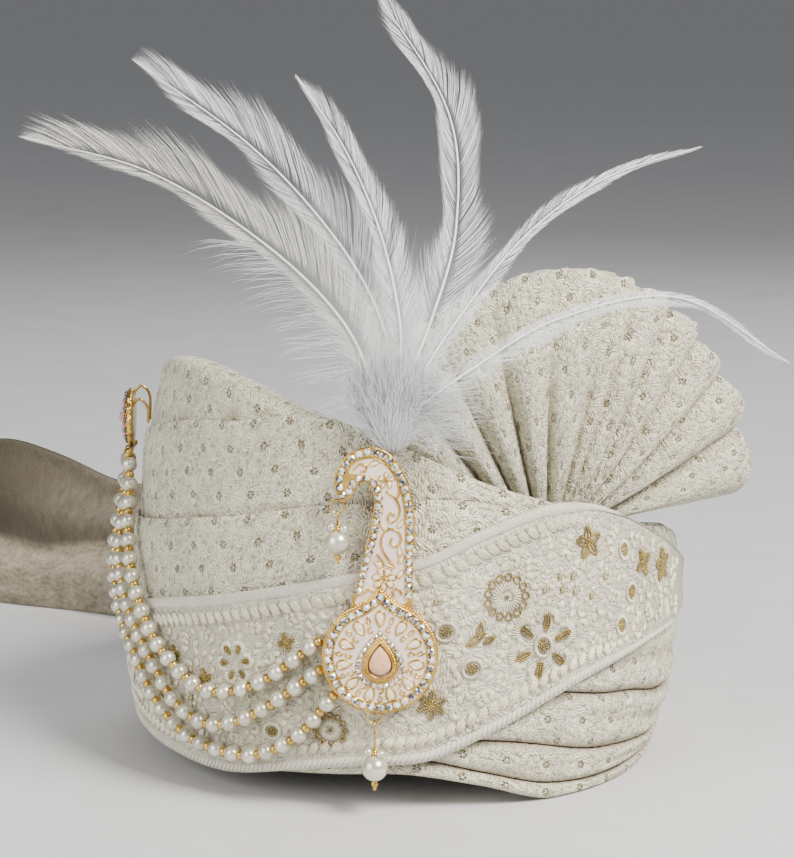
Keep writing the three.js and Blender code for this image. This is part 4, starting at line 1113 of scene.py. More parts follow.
def ground_leaves(ivory):
    """Leaf sprays, small fans and single leaves that fill the ground between the gold motifs."""
    picks = np.random.default_rng(77)
    taken = [(a, h, r * 1.1) for a, h, r, *_ in STARS] + [(a, h, r) for a, h, r, _ in FLOWERS]
    taken += [(a, h, s) for a, h, s, _ in SPRAYS] + [(a, h, 4.4) for a, h, *_ in OVALS]
    taken += [(a, h, 3.0) for a, h in DOTS] + [(*GOLD_LEAF_PLACE, 5.5)]
    per_degree = 2.0
    kinds = (("spray", 1500, 5.0, 4.2), ("fan", 1500, 3.0, 2.2), ("leaf", 4000, 1.6, 1.2))
    for kind, tries, room, keep in kinds:
        for _ in range(tries):
            angle = picks.uniform(BAND_FROM + 3, 352)
            low, top = band_heights(angle)
            margin = np.interp(angle, (298, 316), (12.5, 5.5))
            height = picks.uniform(low + margin, max(low + margin + 0.1, top - margin))
            turn = picks.uniform(0, 2 * math.pi)
            near = any(math.hypot((angle - a) * per_degree, height - h) < r + room for a, h, r in taken)
            if near or top - low < 27:
                continue
            if kind == "spray":
                spray(ivory, (angle, height), turn)
            elif kind == "fan":
                rays(ivory, (angle, height), 0.5, 3.3, 13, 0.6, turn, 3.4, 0.65)
            else:
                root = (-2.4 * math.cos(turn), -2.4 * math.sin(turn))
                leaf(ivory, (angle, height), root, turn, 4.8, 1.7, 3, 0.65)
            taken.append((angle, height, keep))


def spray(ivory, centre, turn):
    """A short stem with pairs of leaves."""
    way = np.array((math.cos(turn), math.sin(turn)))
    ivory.add(centre, way * -4.8, way * 2.0, 0.6, 0.5)
    for k in range(3):
        root = way * (-3.6 + 2.5 * k)
        for sign in (-1, 1):
            leaf(ivory, centre, root, turn + sign * 0.75, 4.0 - 0.3 * k, 1.5, 3, 0.65)
    leaf(ivory, centre, way * 1.4, turn, 3.8, 1.6, 3, 0.65)


# The fan and the loose end

def fan_points(share):
    """Foot, rim, way out and facing of the fan, by share across its pleats."""
    fine = even_line(smooth_line(FAN_RIM, 40), 1201)[0]
    heading = directions(fine)
    at = np.linspace(0, 1, len(fine))
    rim = np.stack([np.interp(share, at, fine[:, k]) for k in range(3)], -1)
    way = np.stack([np.interp(share, at, heading[:, k]) for k in range(3)], -1)
    angle = FAN_FOOT[0] + (FAN_FOOT[1] - FAN_FOOT[0]) * share
    lift = FAN_LIFT[0] + (FAN_LIFT[1] - FAN_LIFT[0]) * share
    foot = wall_point(angle, FAN_FOOT_INSET, edge("body", angle) + lift)
    out = rim - foot
    facing = unit(np.cross(way, out))
    return foot, rim, unit(out), facing


def make_fan():
    """Pleats of uneven width, deep at the foot, nearly flat at the rim and scalloped on the right."""
    across = 260
    share = np.linspace(0, 1, across + 1)
    foot, rim, out, facing = fan_points(share)
    valleys, deep = FAN_VALLEYS["share"], FAN_VALLEYS["deep"]
    number = np.clip(np.searchsorted(valleys, share, side="right") - 1, 0, len(valleys) - 2)
    wide = valleys[number + 1] - valleys[number]
    phase = (share - valleys[number]) / wide
    ridge = np.sin(math.pi * phase) ** 0.75
    full = np.clip(wide / 0.09, 0.5, 1.15) * np.interp(share, valleys, deep)
    right = np.clip((share - 0.5) / 0.06, 0, 1)
    picks = np.random.default_rng(5)
    reach = picks.uniform(-0.8, 0.8, len(valleys))[number] * ridge
    corner = np.where(share < 0.5, 2.6 * np.clip((share - 0.27) / 0.2, 0, 1) ** 1.4 - 1.9, 0)
    scallop = right * (5.4 * phase**0.8 * (1 - phase**6) - 2.1) + (1 - right) * 0.9 * (ridge - 0.5) + corner
    rough = 0.2 * np.sin(share * 170) + 0.15 * np.sin(share * 291 + 1)
    crest = rim + out * (scallop + reach + rough)[:, None]
    t = np.linspace(0, 1, 44)[None, :, None]
    lean = picks.uniform(-1.2, 1.2, len(valleys))[number]
    swing = lean[:, None, None] * ridge[:, None, None] * np.sin(math.pi * t)
    near_foot = 1.5 + 2.4 * np.clip(t / 0.35, 0, 1)
    to_rim = 1 - (0.84 - 0.42 * right[:, None, None]) * np.clip((t - 0.4) / 0.6, 0, 1) ** 0.9
    depth = near_foot * to_rim * full[:, None, None]
    fold = (2 * ridge - 1)[:, None, None]
    lap = right[:, None, None] * (phase[:, None, None] - 0.5) * 2.4 * np.clip((t - 0.6) / 0.4, 0, 1)
    turn_back = 2.4 * np.clip((t - 0.94) / 0.06, 0, 1) ** 2
    spine = foot[:, None] + (crest - foot)[:, None] * t
    spine = spine + facing[:, None] * (fold * depth + swing - lap + 2.6 * np.sin(math.pi * t) - turn_back)
    wall = 1.4 - 0.5 * t
    front, back = spine + facing[:, None] * wall, spine - facing[:, None] * wall
    points = np.concatenate([front, back[:, ::-1]], 1)
    up = running(points, 1, False)[across // 2]
    # Painted shade in the pleats' valleys, deeper towards the foot.
    valley_shade = (1 - ridge)[:, None] ** 1.3 * (1.15 - (0.85 - 0.3 * right)[:, None] * t[..., 0])
    crease = np.concatenate([valley_shade, valley_shade[:, ::-1]], 1)
    fan = strip_piece("pleated_fan", points, FAN_WIDE * share, up, WRAP_CLOTH, crease)
    settle(fan, "ivory_cloth", "fan")


def make_tail():
    """The loose end: it leaves the back, stands on its edge in soft folds and runs off to the left."""
    route = smooth_line(np.stack([TAIL_ROUTE[k] for k in ("x", "y", "height", "belly")], -1), 18)
    place, height, belly = route[:, :2], route[:, 2], route[:, 3]
    along = directions(place)
    facing = np.stack([-along[:, 1], along[:, 0]], -1)
    steps = len(route)
    run = np.linspace(0, 1, steps)
    t = np.linspace(0, 1, 34)
    sway = np.array([np.interp(t, TAIL_FOLDS["share"], TAIL_FOLDS["sway"])])
    rise = np.array([np.interp(t, TAIL_FOLDS["share"], TAIL_FOLDS["rise"])])
    for _ in range(2):
        sway[:, 1:-1] = (sway[:, :-2] + 2 * sway[:, 1:-1] + sway[:, 2:]) / 4
    fade = np.clip(run * 4, 0, 1)[:, None]
    far, down = run[:, None], t[None]
    wrinkle = (np.sin(far * 23 + down * 9) + np.sin(far * 41 - down * 14 + 1)) * 0.9 * fade
    wrinkle = wrinkle + np.sin(far * 9 + down * 17 + 2) * 1.1 * fade
    off = belly[:, None] * sway + wrinkle * np.clip(4 * (1 - t), 0, 1)[None]
    top_wave = 1 + 0.03 * np.sin(run * 17)[:, None] * fade
    drawn = 0.62 + 0.38 * np.clip(run / 0.13, 0, 1)[:, None] ** 0.7
    fold_at = 0.73 - 0.34 * np.clip((run - 0.5) / 0.25, 0, 1)
    rise = np.array([np.interp(rise[0], (0, 0.47, 1), (0, at, 1)) for at in fold_at])
    z = height[:, None] * (0.5 + (rise * top_wave - 0.5) * drawn)
    xy = place[:, None] + facing[:, None] * off[..., None]
    front = np.concatenate([xy, z[..., None]], -1)
    back = front - np.concatenate([facing, np.zeros((steps, 1))], -1)[:, None] * TAIL_THICK
    points = np.concatenate([front, back[:, ::-1]], 1)
    across = running(front[:, 10:11], 0, False)[:, 0]
    up = running(points, 1, False)[steps // 2]
    shaded = np.clip((0.52 - t) / 0.07, 0, 1)[None] * (0.4 + 0.6 * np.clip((run[:, None] - 0.45) / 0.4, 0, 1))
    crease = np.concatenate([shaded, shaded[:, ::-1]], 1)
    tail = strip_piece("loose_end", points, across, up, TAIL_CLOTH, crease)
    settle(tail, "beige_cloth", "tail")


# The plume

# Length of a lock of barbs, width of a barb, and barbs to a millimetre of quill
LOCK, BARB_WIDTH, BARB_COUNT = 2.6, 0.078, 7.2
QUILL_STEPS = 480


def quill_line(points):
    """A feather's quill: places, ways along, facings towards the front and ways across, and its length."""
    line, length = even_line(smooth_line(points, 24), QUILL_STEPS + 1)
    way = directions(line)
    facing = unit(np.cross(np.cross(way, (0, -1, 0)), way))
    return line, way, facing, np.cross(facing, way), length


def make_feather(left, right, points, picks):
    """A quill with hair-fine barbs that lie close along it, in small locks, looser towards the foot."""
    line, way, facing, across, length = quill_line(points)
    share = np.linspace(0, 1, QUILL_STEPS + 1)
    thick = (0.54 - 0.36 * share) * np.clip(0.1 + share / 0.1, 0, 1)
    parts = [tube(line[::8] + facing[::8] * 0.5, thick[::8], 8)]
    count = int(length * BARB_COUNT)
    at = 0.05 + 0.945 * picks.random(count) ** 1.1
    side = np.where(picks.random(count) < 0.5, 1.0, -1.0)
    lock = np.floor(at * length / LOCK + 0.5 * (side > 0))
    luck = np.sin(lock * 12.9 + side * 4.1)
    downy = np.clip((0.34 - at) / 0.2, 0, 1)
    slip = picks.normal(0, 0.12, count) * downy + picks.normal(0, 0.02, count)
    long = picks.uniform(0.84, 1.05, count) * (1 + 0.1 * luck) * (1 + downy * picks.uniform(-0.4, 0.4, count))
    full = np.where(side > 0, left, right)
    steep = 0.5 + 0.5 * np.clip(full / 9, 0, 1)

    def barb(at, part):
        """Places along barbs that leave the quill at the shares given."""
        pick = np.clip((at * QUILL_STEPS).astype(int), 0, QUILL_STEPS)
        half = full * np.clip((1.03 - at) / 0.55, 0, 1) ** 0.7 * (1 + 0.45 * np.clip((0.4 - at) / 0.3, 0, 1))
        lean = np.radians(47 - 36 * at**0.6) * steep
        reach = np.minimum(half / np.sin(lean) * long, (1.012 - at) * length) * part
        closing = np.clip((1 - at) / 0.16, 0.15, 1)
        turn = (lean + 0.22 * (1 - part) * steep) * closing + 0.04 * luck + slip
        aim = way[pick] * np.cos(turn)[:, None] + across[pick] * (side * np.sin(turn))[:, None]
        return line[pick] + aim * reach[:, None] + facing[pick] * (0.06 * luck * reach)[:, None]

    middle = np.clip((lock - 0.5 * (side > 0) + 0.5) * LOCK / length, 0.05, 0.99)
    pull = picks.uniform(0.1, 0.5, count)[:, None] * (1 - 0.7 * downy)[:, None]
    root = barb(at, 0.0)
    bend_a = barb(at, 0.2)
    bend_b = barb(at, 0.62) * (1 - pull * 0.5) + barb(middle, 0.62) * pull * 0.5
    end = barb(at, 1.0) * (1 - pull) + barb(middle, 1.0) * pull
    past = np.clip(np.sum((end - line[-1]) * way[-1], 1) - 3.0, 0, None)
    end = end - way[-1] * past[:, None]
    wide = np.full(count, BARB_WIDTH)
    towards = facing[(at * QUILL_STEPS).astype(int)]
    parts.append(strands(root, bend_a, bend_b, end, towards, wide, wide * 0.35))
    return joined(parts)


def make_plume():
    picks = np.random.default_rng(23)
    white = [make_feather(left, right, points, picks) for left, right, points in FEATHERS]
    ivory = white.pop(0)
    stem_line = np.array([(TUFT[0], -124.7, 116), (TUFT[0], -124.7, 132), (TUFT[0], -125.6, TUFT[2] - 10)])
    stem = tube(stem_line, 1.5, 8)
    plume = add_piece("white_feathers", *joined(white + [stem]), FEATHER)
    settle(plume, "feather", "feather_plume")
    settle(add_piece("long_feather", *ivory, FEATHER_TIP), "feather")
    settle(add_piece("down_tuft", *joined([tuft_hairs(picks), side_wisps(picks)]), DOWN), "feather")


def tuft_hairs(picks):
    """Soft down about the feathers' feet, narrow where it leaves the cloth and full above."""
    count = 15600
    turn = picks.uniform(0, 2 * math.pi, count)
    spread = np.abs(picks.normal(0, 0.4, count))
    aim = np.stack([np.sin(spread) * np.cos(turn), 0.3 * np.sin(spread) * np.sin(turn), np.cos(spread)], -1)
    rise = picks.uniform(0, 1, count) ** 1.25
    girth = 1.8 + 7.8 * np.sin(rise * 1.9)
    aside = picks.normal(0, 0.55, count) * girth
    behind = 3.2 * np.clip(rise / 0.4, 0, 1) - 1.2 + picks.normal(0, 0.2, count) * girth
    root = TUFT + np.stack([aside, behind, -22 + 25 * rise], -1)
    reach = picks.uniform(5, 17, count) * (1 + (picks.random(count) > 0.95) * 0.7)
    end = root + unit(aim) * reach[:, None]
    curl = picks.normal(0, 1, (count, 3)) * (0.9, 0.5, 0.7)
    hairs = strands(root, root + (end - root) * 0.35 + curl * 0.5, root + (end - root) * 0.7 + curl, end,
                    np.tile((0.0, -1.0, 0.2), (count, 1)), np.full(count, 0.15), np.full(count, 0.06))
    climb = np.linspace(0, 1, 25)
    middle = TUFT + np.stack([0 * climb, 0 * climb, -24 + 36 * climb], -1)
    core, faces = tube(middle, 0.4 + 7.6 * np.sin(climb * math.pi) ** 0.7 * (0.4 + 0.6 * climb), 24)
    core = TUFT + (core - TUFT) * (1, 0.16, 1) + (0, 4.2, 0)
    return joined([hairs, (core, faces)])


def side_wisps(picks):
    """Long separate hairs on the left of the first feather's foot, and short ones over the fan."""
    line, way, facing, across = quill_line(FEATHERS[0][2])[:4]
    count = 180
    pick = (picks.uniform(0.0, 0.42, count) * QUILL_STEPS).astype(int)
    lock = np.sin(np.floor(pick / 7) * 7.7)
    turn = np.radians(84 - 56 * pick / 200) + 0.12 * lock + picks.normal(0, 0.09, count)
    reach = picks.uniform(14, 36, count)[:, None]

    def along_hair(part, bend):
        aim = way[pick] * np.cos(turn + bend)[:, None] + across[pick] * np.sin(turn + bend)[:, None]
        return line[pick] + aim * reach * part + facing[pick] * (2.5 * part * lock)[:, None]

    bends = [along_hair(part, bend) for part, bend in ((0, 0), (0.3, -0.1), (0.7, 0.0), (1, 0.1))]
    left = strands(*bends, facing[pick], np.full(count, 0.14), np.full(count, 0.05))
    count = 260
    root = np.array((2.0, -127.0, 146.0)) + picks.normal(0, 1, (count, 3)) * (3, 0.8, 7)
    aim = np.stack([np.ones(count), picks.normal(-0.05, 0.06, count), picks.normal(0.1, 0.3, count)], -1)
    end = root + unit(aim) * picks.uniform(10, 30, count)[:, None]
    lift = np.array((0, 0, 1.0)) * picks.uniform(0, 2.5, count)[:, None]
    right = strands(root, root + (end - root) * 0.35 + lift, root + (end - root) * 0.7 + lift, end,
                    np.tile((0.0, -1.0, 0.1), (count, 1)), np.full(count, 0.13), np.full(count, 0.05))
    return joined([left, right])


# Pearls

def make_strings():
    bead = ball_shape(24, 14, 0.97)
    points, faces = ball_shape(12, 8)
    spacer = (points * (1, 1, 0.8), faces)
    for k, rows in enumerate(STRINGS):
        angle, height, stand = np.array(rows, float).T
        line = smooth_line(wall_point(angle, -stand, height), 30)
        count = int(round(even_line(line, 2)[1] / PEARL_PITCH))
        places = even_line(line, 2 * count + 1)[0]
        way = directions(places)
        out = unit(places * (1, 1, 0))
        side = unit(np.cross(way, out))
        lift = np.cross(side, way)
        beads = slice(1, None, 2)
        gaps = slice(0, None, 2)
        picks = np.random.default_rng(90 + k)
        sizes = PEARL_RADIUS * picks.uniform(0.91, 0.96, count)
        points, faces = repeat(bead, places[beads], side[beads], lift[beads], way[beads], sizes)
        string = add_piece(f"pearls_{k + 1}", points, faces, PEARL)
        settle(string, "pearl", f"pearl_string_{k + 1}")
        sizes = np.full(count + 1, SPACER_RADIUS)
        gold = repeat(spacer, places[gaps], side[gaps], lift[gaps], way[gaps], sizes)
        wire = tube(places, STRING_WIRE, 6)
        settle(add_piece(f"gold_spacers_{k + 1}", *joined([gold, wire]), GOLD), "gold")


# The brooch

def on_brooch(points):
    """From the brooch's own plane, right, up and front, to the turban."""
    p = np.asarray(points, float)
    return BROOCH + np.stack([p[..., 0], -p[..., 2], p[..., 1]], -1)


def flat_plate(name, outline, low, high, bevel, material):
    """A plate with rounded edges from a flat outline."""
    curve = bpy.data.curves.new(name, "CURVE")
    curve.dimensions = "2D"
    curve.fill_mode = "BOTH"
    curve.extrude = (high - low) / 2 - bevel
    curve.bevel_depth = bevel
    curve.bevel_resolution = 2
    curve.offset = -bevel
    spline = curve.splines.new("POLY")
    spline.points.add(len(outline) - 1)
    for point, (x, y) in zip(spline.points, outline):
        point.co = (x, y, 0, 1)
    spline.use_cyclic_u = True
    piece = bpy.data.objects.new(name, curve)
    bpy.context.scene.collection.objects.link(piece)
    bpy.context.view_layer.objects.active = piece
    piece.select_set(True)
    bpy.ops.object.convert(target="MESH")
    piece = bpy.context.object
    piece.select_set(False)
    points, faces = take_shape(piece)
    points = on_brooch(points + (0, 0, (low + high) / 2))
    made = add_piece(name, points, faces, material)
    bpy.context.view_layer.objects.active = made
    made.select_set(True)
    bpy.ops.object.shade_smooth_by_angle(angle=math.radians(35))
    made.select_set(False)
    return made


def neck_outline():
    outer = smooth_line(NECK_OUTER, 6)
    inner = smooth_line(NECK_INNER, 6)
    return outer, inner


def drop_outline(inset):
    """A drop: a round foot that runs up to a point."""
    radius, tip = BASE_RADIUS - inset, BASE_TIP - 1.5 * inset
    shoulder = math.radians(52)
    x, y = radius * math.cos(shoulder), radius * math.sin(shoulder)
    turn = np.linspace(math.pi - shoulder, 2 * math.pi + shoulder, 48)
    foot = np.stack([radius * np.cos(turn), radius * np.sin(turn)], -1)
    t = np.linspace(0, 1, 9)[1:-1, None]
    tip_point, knee = np.array((0, tip)), y + (tip - y) * 0.4
    left = (1 - t) ** 2 * tip_point + 2 * t * (1 - t) * np.array((-x * 0.36, knee)) + t**2 * np.array((-x, y))
    right = (1 - t) ** 2 * np.array((x, y)) + 2 * t * (1 - t) * np.array((x * 0.36, knee)) + t**2 * tip_point
    return np.concatenate([[tip_point], left, foot, right])


def teardrop(half_w, half_h, steps=28):
    """A small drop outline about its middle, pointing up."""
    turn = np.linspace(0, 2 * math.pi, steps, endpoint=False)
    x = half_w * np.sin(turn) * np.sin(turn / 2) ** 0.9
    y = half_h * np.cos(turn)
    return np.stack([x, y], -1)


def offset_line(line, by):
    """A flat line moved sideways."""
    way = directions(line)
    return line + np.stack([way[:, 1], -way[:, 0]], -1) * by


def stones_along(line, pitch, radius, level, closed=False):
    """Places, levels and sizes of a row of round stones."""
    length = even_line(line, 2, closed)[1]
    count = max(2, int(round(length / pitch)))
    places = even_line(line, count, closed)[0]
    return [(x, y, level, radius) for x, y in places]


def at_level(line, level):
    """A flat line of the brooch set at a level above its back."""
    return np.concatenate([line, np.full((len(line), 1), level)], 1)


def raised_wire(line, level, radius, closed=False, sides=6):
    return tube(on_brooch(at_level(line, level)), radius, sides, closed)


def rope(line, level, radius, pitch, bead):
    """A twisted cord of gold round a closed line, made of slanting grains."""
    count = max(6, int(even_line(line, 2, True)[1] / pitch))
    places = even_line(line, count, True)[0]
    way = directions(places, True)
    slant = unit(way + np.stack([-way[:, 1], way[:, 0]], -1) * 0.9)
    place3 = on_brooch(at_level(places, level))
    long = np.stack([slant[:, 0], np.zeros(len(slant)), slant[:, 1]], -1)
    front = np.tile((0.0, -1.0, 0.0), (len(slant), 1))
    side = np.cross(front, long)
    grains = (bead[0] * (0.62, 0.8, 1.15), bead[1])
    return repeat(grains, place3, side, front, long, np.full(len(places), radius))


def flower_lines(x, y, radius, petals, turn=0.0):
    lines = []
    for k in range(petals):
        a = turn + 2 * math.pi * k / petals
        drop = teardrop(radius * 0.30, radius * 0.36, 16)
        c, s = math.cos(a - math.pi / 2), math.sin(a - math.pi / 2)
        spun = np.stack([drop[:, 0] * c + drop[:, 1] * s, drop[:, 0] * s - drop[:, 1] * c], -1)
        lines.append(spun + (x + radius * 0.6 * math.cos(a), y + radius * 0.6 * math.sin(a)))
    return lines


def scroll_line(x, y, radius, turns, start):
    t = np.linspace(0, 1, 26)
    a = start + 2 * math.pi * turns * t
    r = radius * (1 - 0.82 * t)
    return np.stack([x + r * np.cos(a), y + r * np.sin(a)], -1)


def petal_pads(lines, level, rise):
    """Low domes of enamel inside small outlines."""
    parts = []
    for line in lines:
        middle = line.mean(0)
        dome = ((0.94, 0.0), (0.8, 0.6), (0.45, 0.95))
        rings = [at_level(middle + (line - middle) * share, level + rise * up) for share, up in dome]
        top = np.array([[*middle, level + rise]])
        points = on_brooch(np.concatenate(rings + [top]))
        n = len(line)
        faces = []
        for ring in range(2):
            for k in range(n):
                m = (k + 1) % n
                faces.append([ring * n + k, ring * n + m, (ring + 1) * n + m, (ring + 1) * n + k])
        faces += [[2 * n + k, 2 * n + (k + 1) % n, 3 * n] for k in range(n)]
        faces.append(list(range(n))[::-1])
        parts.append((points, faces))
    return joined(parts)


def make_brooch():
    bead = ball_shape(8, 6)
    outer, inner = neck_outline()
    neck = flat_plate("brooch_neck", np.concatenate([outer, inner]), 0, NECK_THICK, 0.3, GOLD)
    base = flat_plate("brooch_base", drop_outline(0), 0, BASE_THICK - 0.6, 0.5, GOLD)
    wires, crystals, white_pads = [], [], []
    face, deck = NECK_THICK, BASE_THICK - 0.6
    wires.append(rope(drop_outline(0.2), BASE_THICK - 1.9, 1.0, 1.05, bead))
    wires.append(raised_wire(drop_outline(0.55), deck + 0.1, 0.5, True))
    wires.append(raised_wire(drop_outline(BASE_RIM + 0.1), deck + 0.2, 0.35, True))
    crystals += stones_along(drop_outline(1.95), 3.1, 1.6, deck + 0.35, True)
    edge_out, edge_in = outer[8:], inner[:-9]
    rim_out = offset_line(outer, -1.45)[2:-2]
    rim_in = offset_line(inner, -1.4)[2:-3]
    crystals += stones_along(rim_out, 2.85, 1.5, face + 0.35)
    crystals += stones_along(rim_in, 2.7, 1.42, face + 0.35)
    wires.append(raised_wire(np.concatenate([edge_out, edge_in]), face - 0.2, 0.4))
    field = smooth_line(NECK_FIELD, 6, True)
    wires.append(raised_wire(field, face + 0.15, 0.32, True))
    enamel = flat_plate("neck_enamel", field, face - 0.9, face + 0.12, 0.12, PINK_ENAMEL)
    settle(enamel, "enamel", "brooch_neck_enamel")
    ground = flat_plate("base_enamel", drop_outline(BASE_RIM), deck - 0.8, deck + 0.25, 0.12, PINK_ENAMEL)
    settle(ground, "enamel", "brooch_base_enamel")
    neck_work(wires, white_pads, face + 0.15)
    base_work(wires, white_pads, crystals, deck + 0.25, bead)
    level_pads = [petal_pads([line], level, 0.5) for line, level in white_pads]
    pads = add_piece("raised_enamel", *joined(level_pads), WHITE_ENAMEL)
    settle(pads, "enamel")
    set_crystals(crystals, wires)
    wires += drop_loops()
    wire_piece = add_piece("brooch_wirework", *joined(wires), GOLD)
    settle(neck, "gold", "brooch_frame")
    settle(base, "gold")
    settle(wire_piece, "gold")


def set_crystals(crystals, wires):
    stone, cup = cut_stone_shape(), cup_shape()
    rows = np.array(crystals)
    places = on_brooch(rows[:, :3])
    count = len(rows)
    picks = np.random.default_rng(3)
    spin = picks.uniform(0, math.pi, count)
    x = np.stack([np.cos(spin), np.zeros(count), np.sin(spin)], -1)
    front = unit(np.array((0.0, -1.0, 0.0)) + picks.normal(0, 0.06, (count, 3)))
    x = unit(x - front * np.sum(x * front, 1, keepdims=True))
    y = np.cross(front, x)
    cut_stones = repeat(stone, places, x, y, front, rows[:, 3] * 0.98)
    gems = add_piece("crystals", *cut_stones, CRYSTAL, smooth=False)
    cut = gems.data.attributes.new("glint", "FLOAT", "FACE")
    cut.data.foreach_set("value", (picks.random(len(gems.data.polygons)) ** 0.6).astype(np.float32))
    settle(gems, "pink_stone")
    wires.append(repeat(cup, places, x, y, front, rows[:, 3] * 0.92))


NECK_VINES = [
    [(2.3, 60.4), (5.2, 57.8), (7.0, 54.2), (6.4, 50.6), (4.2, 48.9), (2.7, 50.6), (4.0, 52.4), (5.2, 51.2)],
    [(5.6, 32.6), (3.0, 35.4), (0.8, 39.2), (0.5, 43.2), (2.6, 46.3), (6.0, 45.9), (7.5, 42.9), (6.1, 40.2),
     (3.8, 41.2), (4.2, 43.4)],
    [(5.0, 32.4), (1.6, 34.0), (-1.2, 37.4)],
    [(6.4, 63.4), (6.9, 60.4), (6.2, 57.4)],
    [(-9.6, 67.6), (-7.4, 69.9), (-4.9, 69.3), (-5.2, 67.4), (-6.8, 67.5)],
    [(-6.4, 22.4), (-4.2, 24.6), (-2.2, 23.4), (-3.4, 21.8)],
    [(8.0, 22.4), (6.4, 24.8), (4.4, 23.8), (5.2, 22.0)],
]
NECK_LEAVES = [(1.4, 47.2, 2.4), (7.4, 48.4, 0.9), (7.6, 35.6, 1.2), (-0.6, 33.6, 2.6), (6.9, 38.4, 1.7),
               (-1.8, 70.2, 0.3), (0.2, 53.6, 1.4), (7.3, 30.2, 1.0)]


def turned_drop(half_w, half_h, turn, place, steps=16):
    """A small drop outline turned to point a given way."""
    drop = teardrop(half_w, half_h, steps)
    c, s = math.cos(turn - math.pi / 2), math.sin(turn - math.pi / 2)
    return np.stack([drop[:, 0] * c - drop[:, 1] * s, drop[:, 0] * s + drop[:, 1] * c], -1) + place


def neck_work(wires, pads, level):
    """Flowers, scrolls and leaves raised on the neck's enamel."""
    for x, y, radius, petals, turn in ((2.2, 64.0, 3.1, 5, 0.3), (1.4, 28.2, 4.5, 7, 0.2)):
        for line in flower_lines(x, y, radius, petals, turn):
            wires.append(raised_wire(line, level, 0.32, True, 5))
            pads.append((line, level - 0.1))
        wires.append(raised_wire(scroll_line(x, y, 0.7, 1, 0), level + 0.2, 0.35, False, 5))
    for vine in NECK_VINES:
        wires.append(raised_wire(smooth_line(vine, 6), level + 0.1, 0.44, False, 6))
    for x, y, turn in NECK_LEAVES:
        line = turned_drop(1.05, 1.9, turn, (x, y))
        wires.append(raised_wire(line, level, 0.3, True, 5))
        pads.append((line, level - 0.1))


def base_work(wires, pads, crystals, level, bead):
    """Round the middle stone: its bezel, small crystals, a ring of petals and little leaves."""
    middle = np.array((0, -STONE_DROP))
    petals = 11
    for k in range(petals):
        a = math.pi / 2 + 2 * math.pi * k / petals
        reach = 13.0 + 1.8 * max(0, math.sin(a)) ** 8
        place = middle * 0.5 + (reach * math.cos(a), reach * math.sin(a))
        line = turned_drop(2.1, 2.8, a + math.pi, place, 18)
        wires.append(raised_wire(line, level, 0.44, True, 5))
        pads.append((line, level - 0.1))
        b = a + math.pi / petals
        way = np.array((math.cos(b), math.sin(b)))
        curl = middle * 0.5 + way * 11.0
        wires.append(raised_wire(scroll_line(*curl, 1.5, 0.8, b - 0.4), level, 0.42, False, 5))
        small = turned_drop(0.85, 1.35, b, middle * 0.5 + way * 14.9, 10)
        wires.append(raised_wire(small, level, 0.36, True, 5))
    seat = middle + (0, 0.6)
    crystals += stones_along(teardrop(10.1, 9.7, 60) + seat, 2.05, 1.02, level + 0.2, True)
    wires.append(rope(teardrop(6.9, 7.4, 44) + seat, level + 0.6, 0.8, 0.85, bead))
    wires.append(raised_wire(teardrop(6.1, 6.6, 44) + seat, level + 1.1, 0.5, True))
    wires.append(raised_wire(teardrop(7.8, 8.2, 44) + seat, level + 0.2, 0.45, True))
    stone = petal_pads([teardrop(5.8, 6.1, 44) + seat], level + 0.35, 2.2)
    piece = add_piece("middle_stone", *stone, PEACH)
    settle(piece, "peach_stone", "brooch_stone")


def drop_heights(loop_y, stem, pearl):
    eye = loop_y - LOOP_RADIUS - EYE_RADIUS + DROP_WIRE + CLEAR
    centre = eye - EYE_RADIUS - DROP_WIRE - stem - pearl * 0.96
    return eye, centre, centre - pearl * 0.96


def drop_loops():
    """The loops soldered to the brooch for its two drops."""
    turn = np.linspace(0, 2 * math.pi, 28, endpoint=False)
    parts = []
    for _, x, y, z, *_ in DROPS:
        ring = np.stack([x + LOOP_RADIUS * np.cos(turn), y + LOOP_RADIUS * np.sin(turn), np.full(28, z)], -1)
        parts.append(tube(on_brooch(ring), DROP_WIRE / 2, 8, True))
    return parts


def make_drops():
    bead, small = ball_shape(32, 20, 0.98), ball_shape(16, 10)
    turn = np.linspace(0, 2 * math.pi, 26, endpoint=False)
    axes = [np.tile(v, (8, 1)) for v in np.eye(3)]
    for name, x, y, z, stem, pearl, ball in DROPS:
        eye, centre, foot = drop_heights(y, stem, pearl)
        ring = np.stack([np.full(26, x), eye + EYE_RADIUS * np.sin(turn), z + EYE_RADIUS * np.cos(turn)], -1)
        pin = np.array([(x, eye - EYE_RADIUS, z), (x, (eye + foot) / 2, z), (x, foot - ball, z)])
        caps = [on_brooch((x, centre + pearl * 0.97, z)), on_brooch((x, foot - ball * 0.8, z)),
                on_brooch((x, foot - ball * 2.1, z)), on_brooch((x, centre + pearl + 1.0, z))]
        gold = repeat(small, caps, *axes, (1.5, ball, ball * 0.55, 0.9))
        parts = [tube(on_brooch(ring), DROP_WIRE / 2, 8, True), tube(on_brooch(pin), DROP_WIRE / 2, 8), gold]
        tiny_at = [on_brooch((x - 2.4, centre + pearl + 1.2, z + 0.8)),
                   on_brooch((x + 2.3, centre + pearl + 0.5, z + 1.2))]
        for place in tiny_at:
            top = on_brooch((x, centre + pearl + 2.6, z))
            parts.append(tube(np.array([top, (top + place) / 2 + (0, 0, 0.4), place]), 0.25, 6))
        settle(add_piece(f"{name}_wire", *joined(parts), GOLD), "gold", f"{name}_pin")
        pearls = repeat(bead, [on_brooch((x, centre, z))], *axes, (pearl,))
        tiny = repeat(small, tiny_at, *axes, (1.65, 1.65))
        settle(add_piece(f"{name}_pearls", *joined([pearls, tiny]), PEARL), "pearl", f"{name}_pearl")


# The side brooch

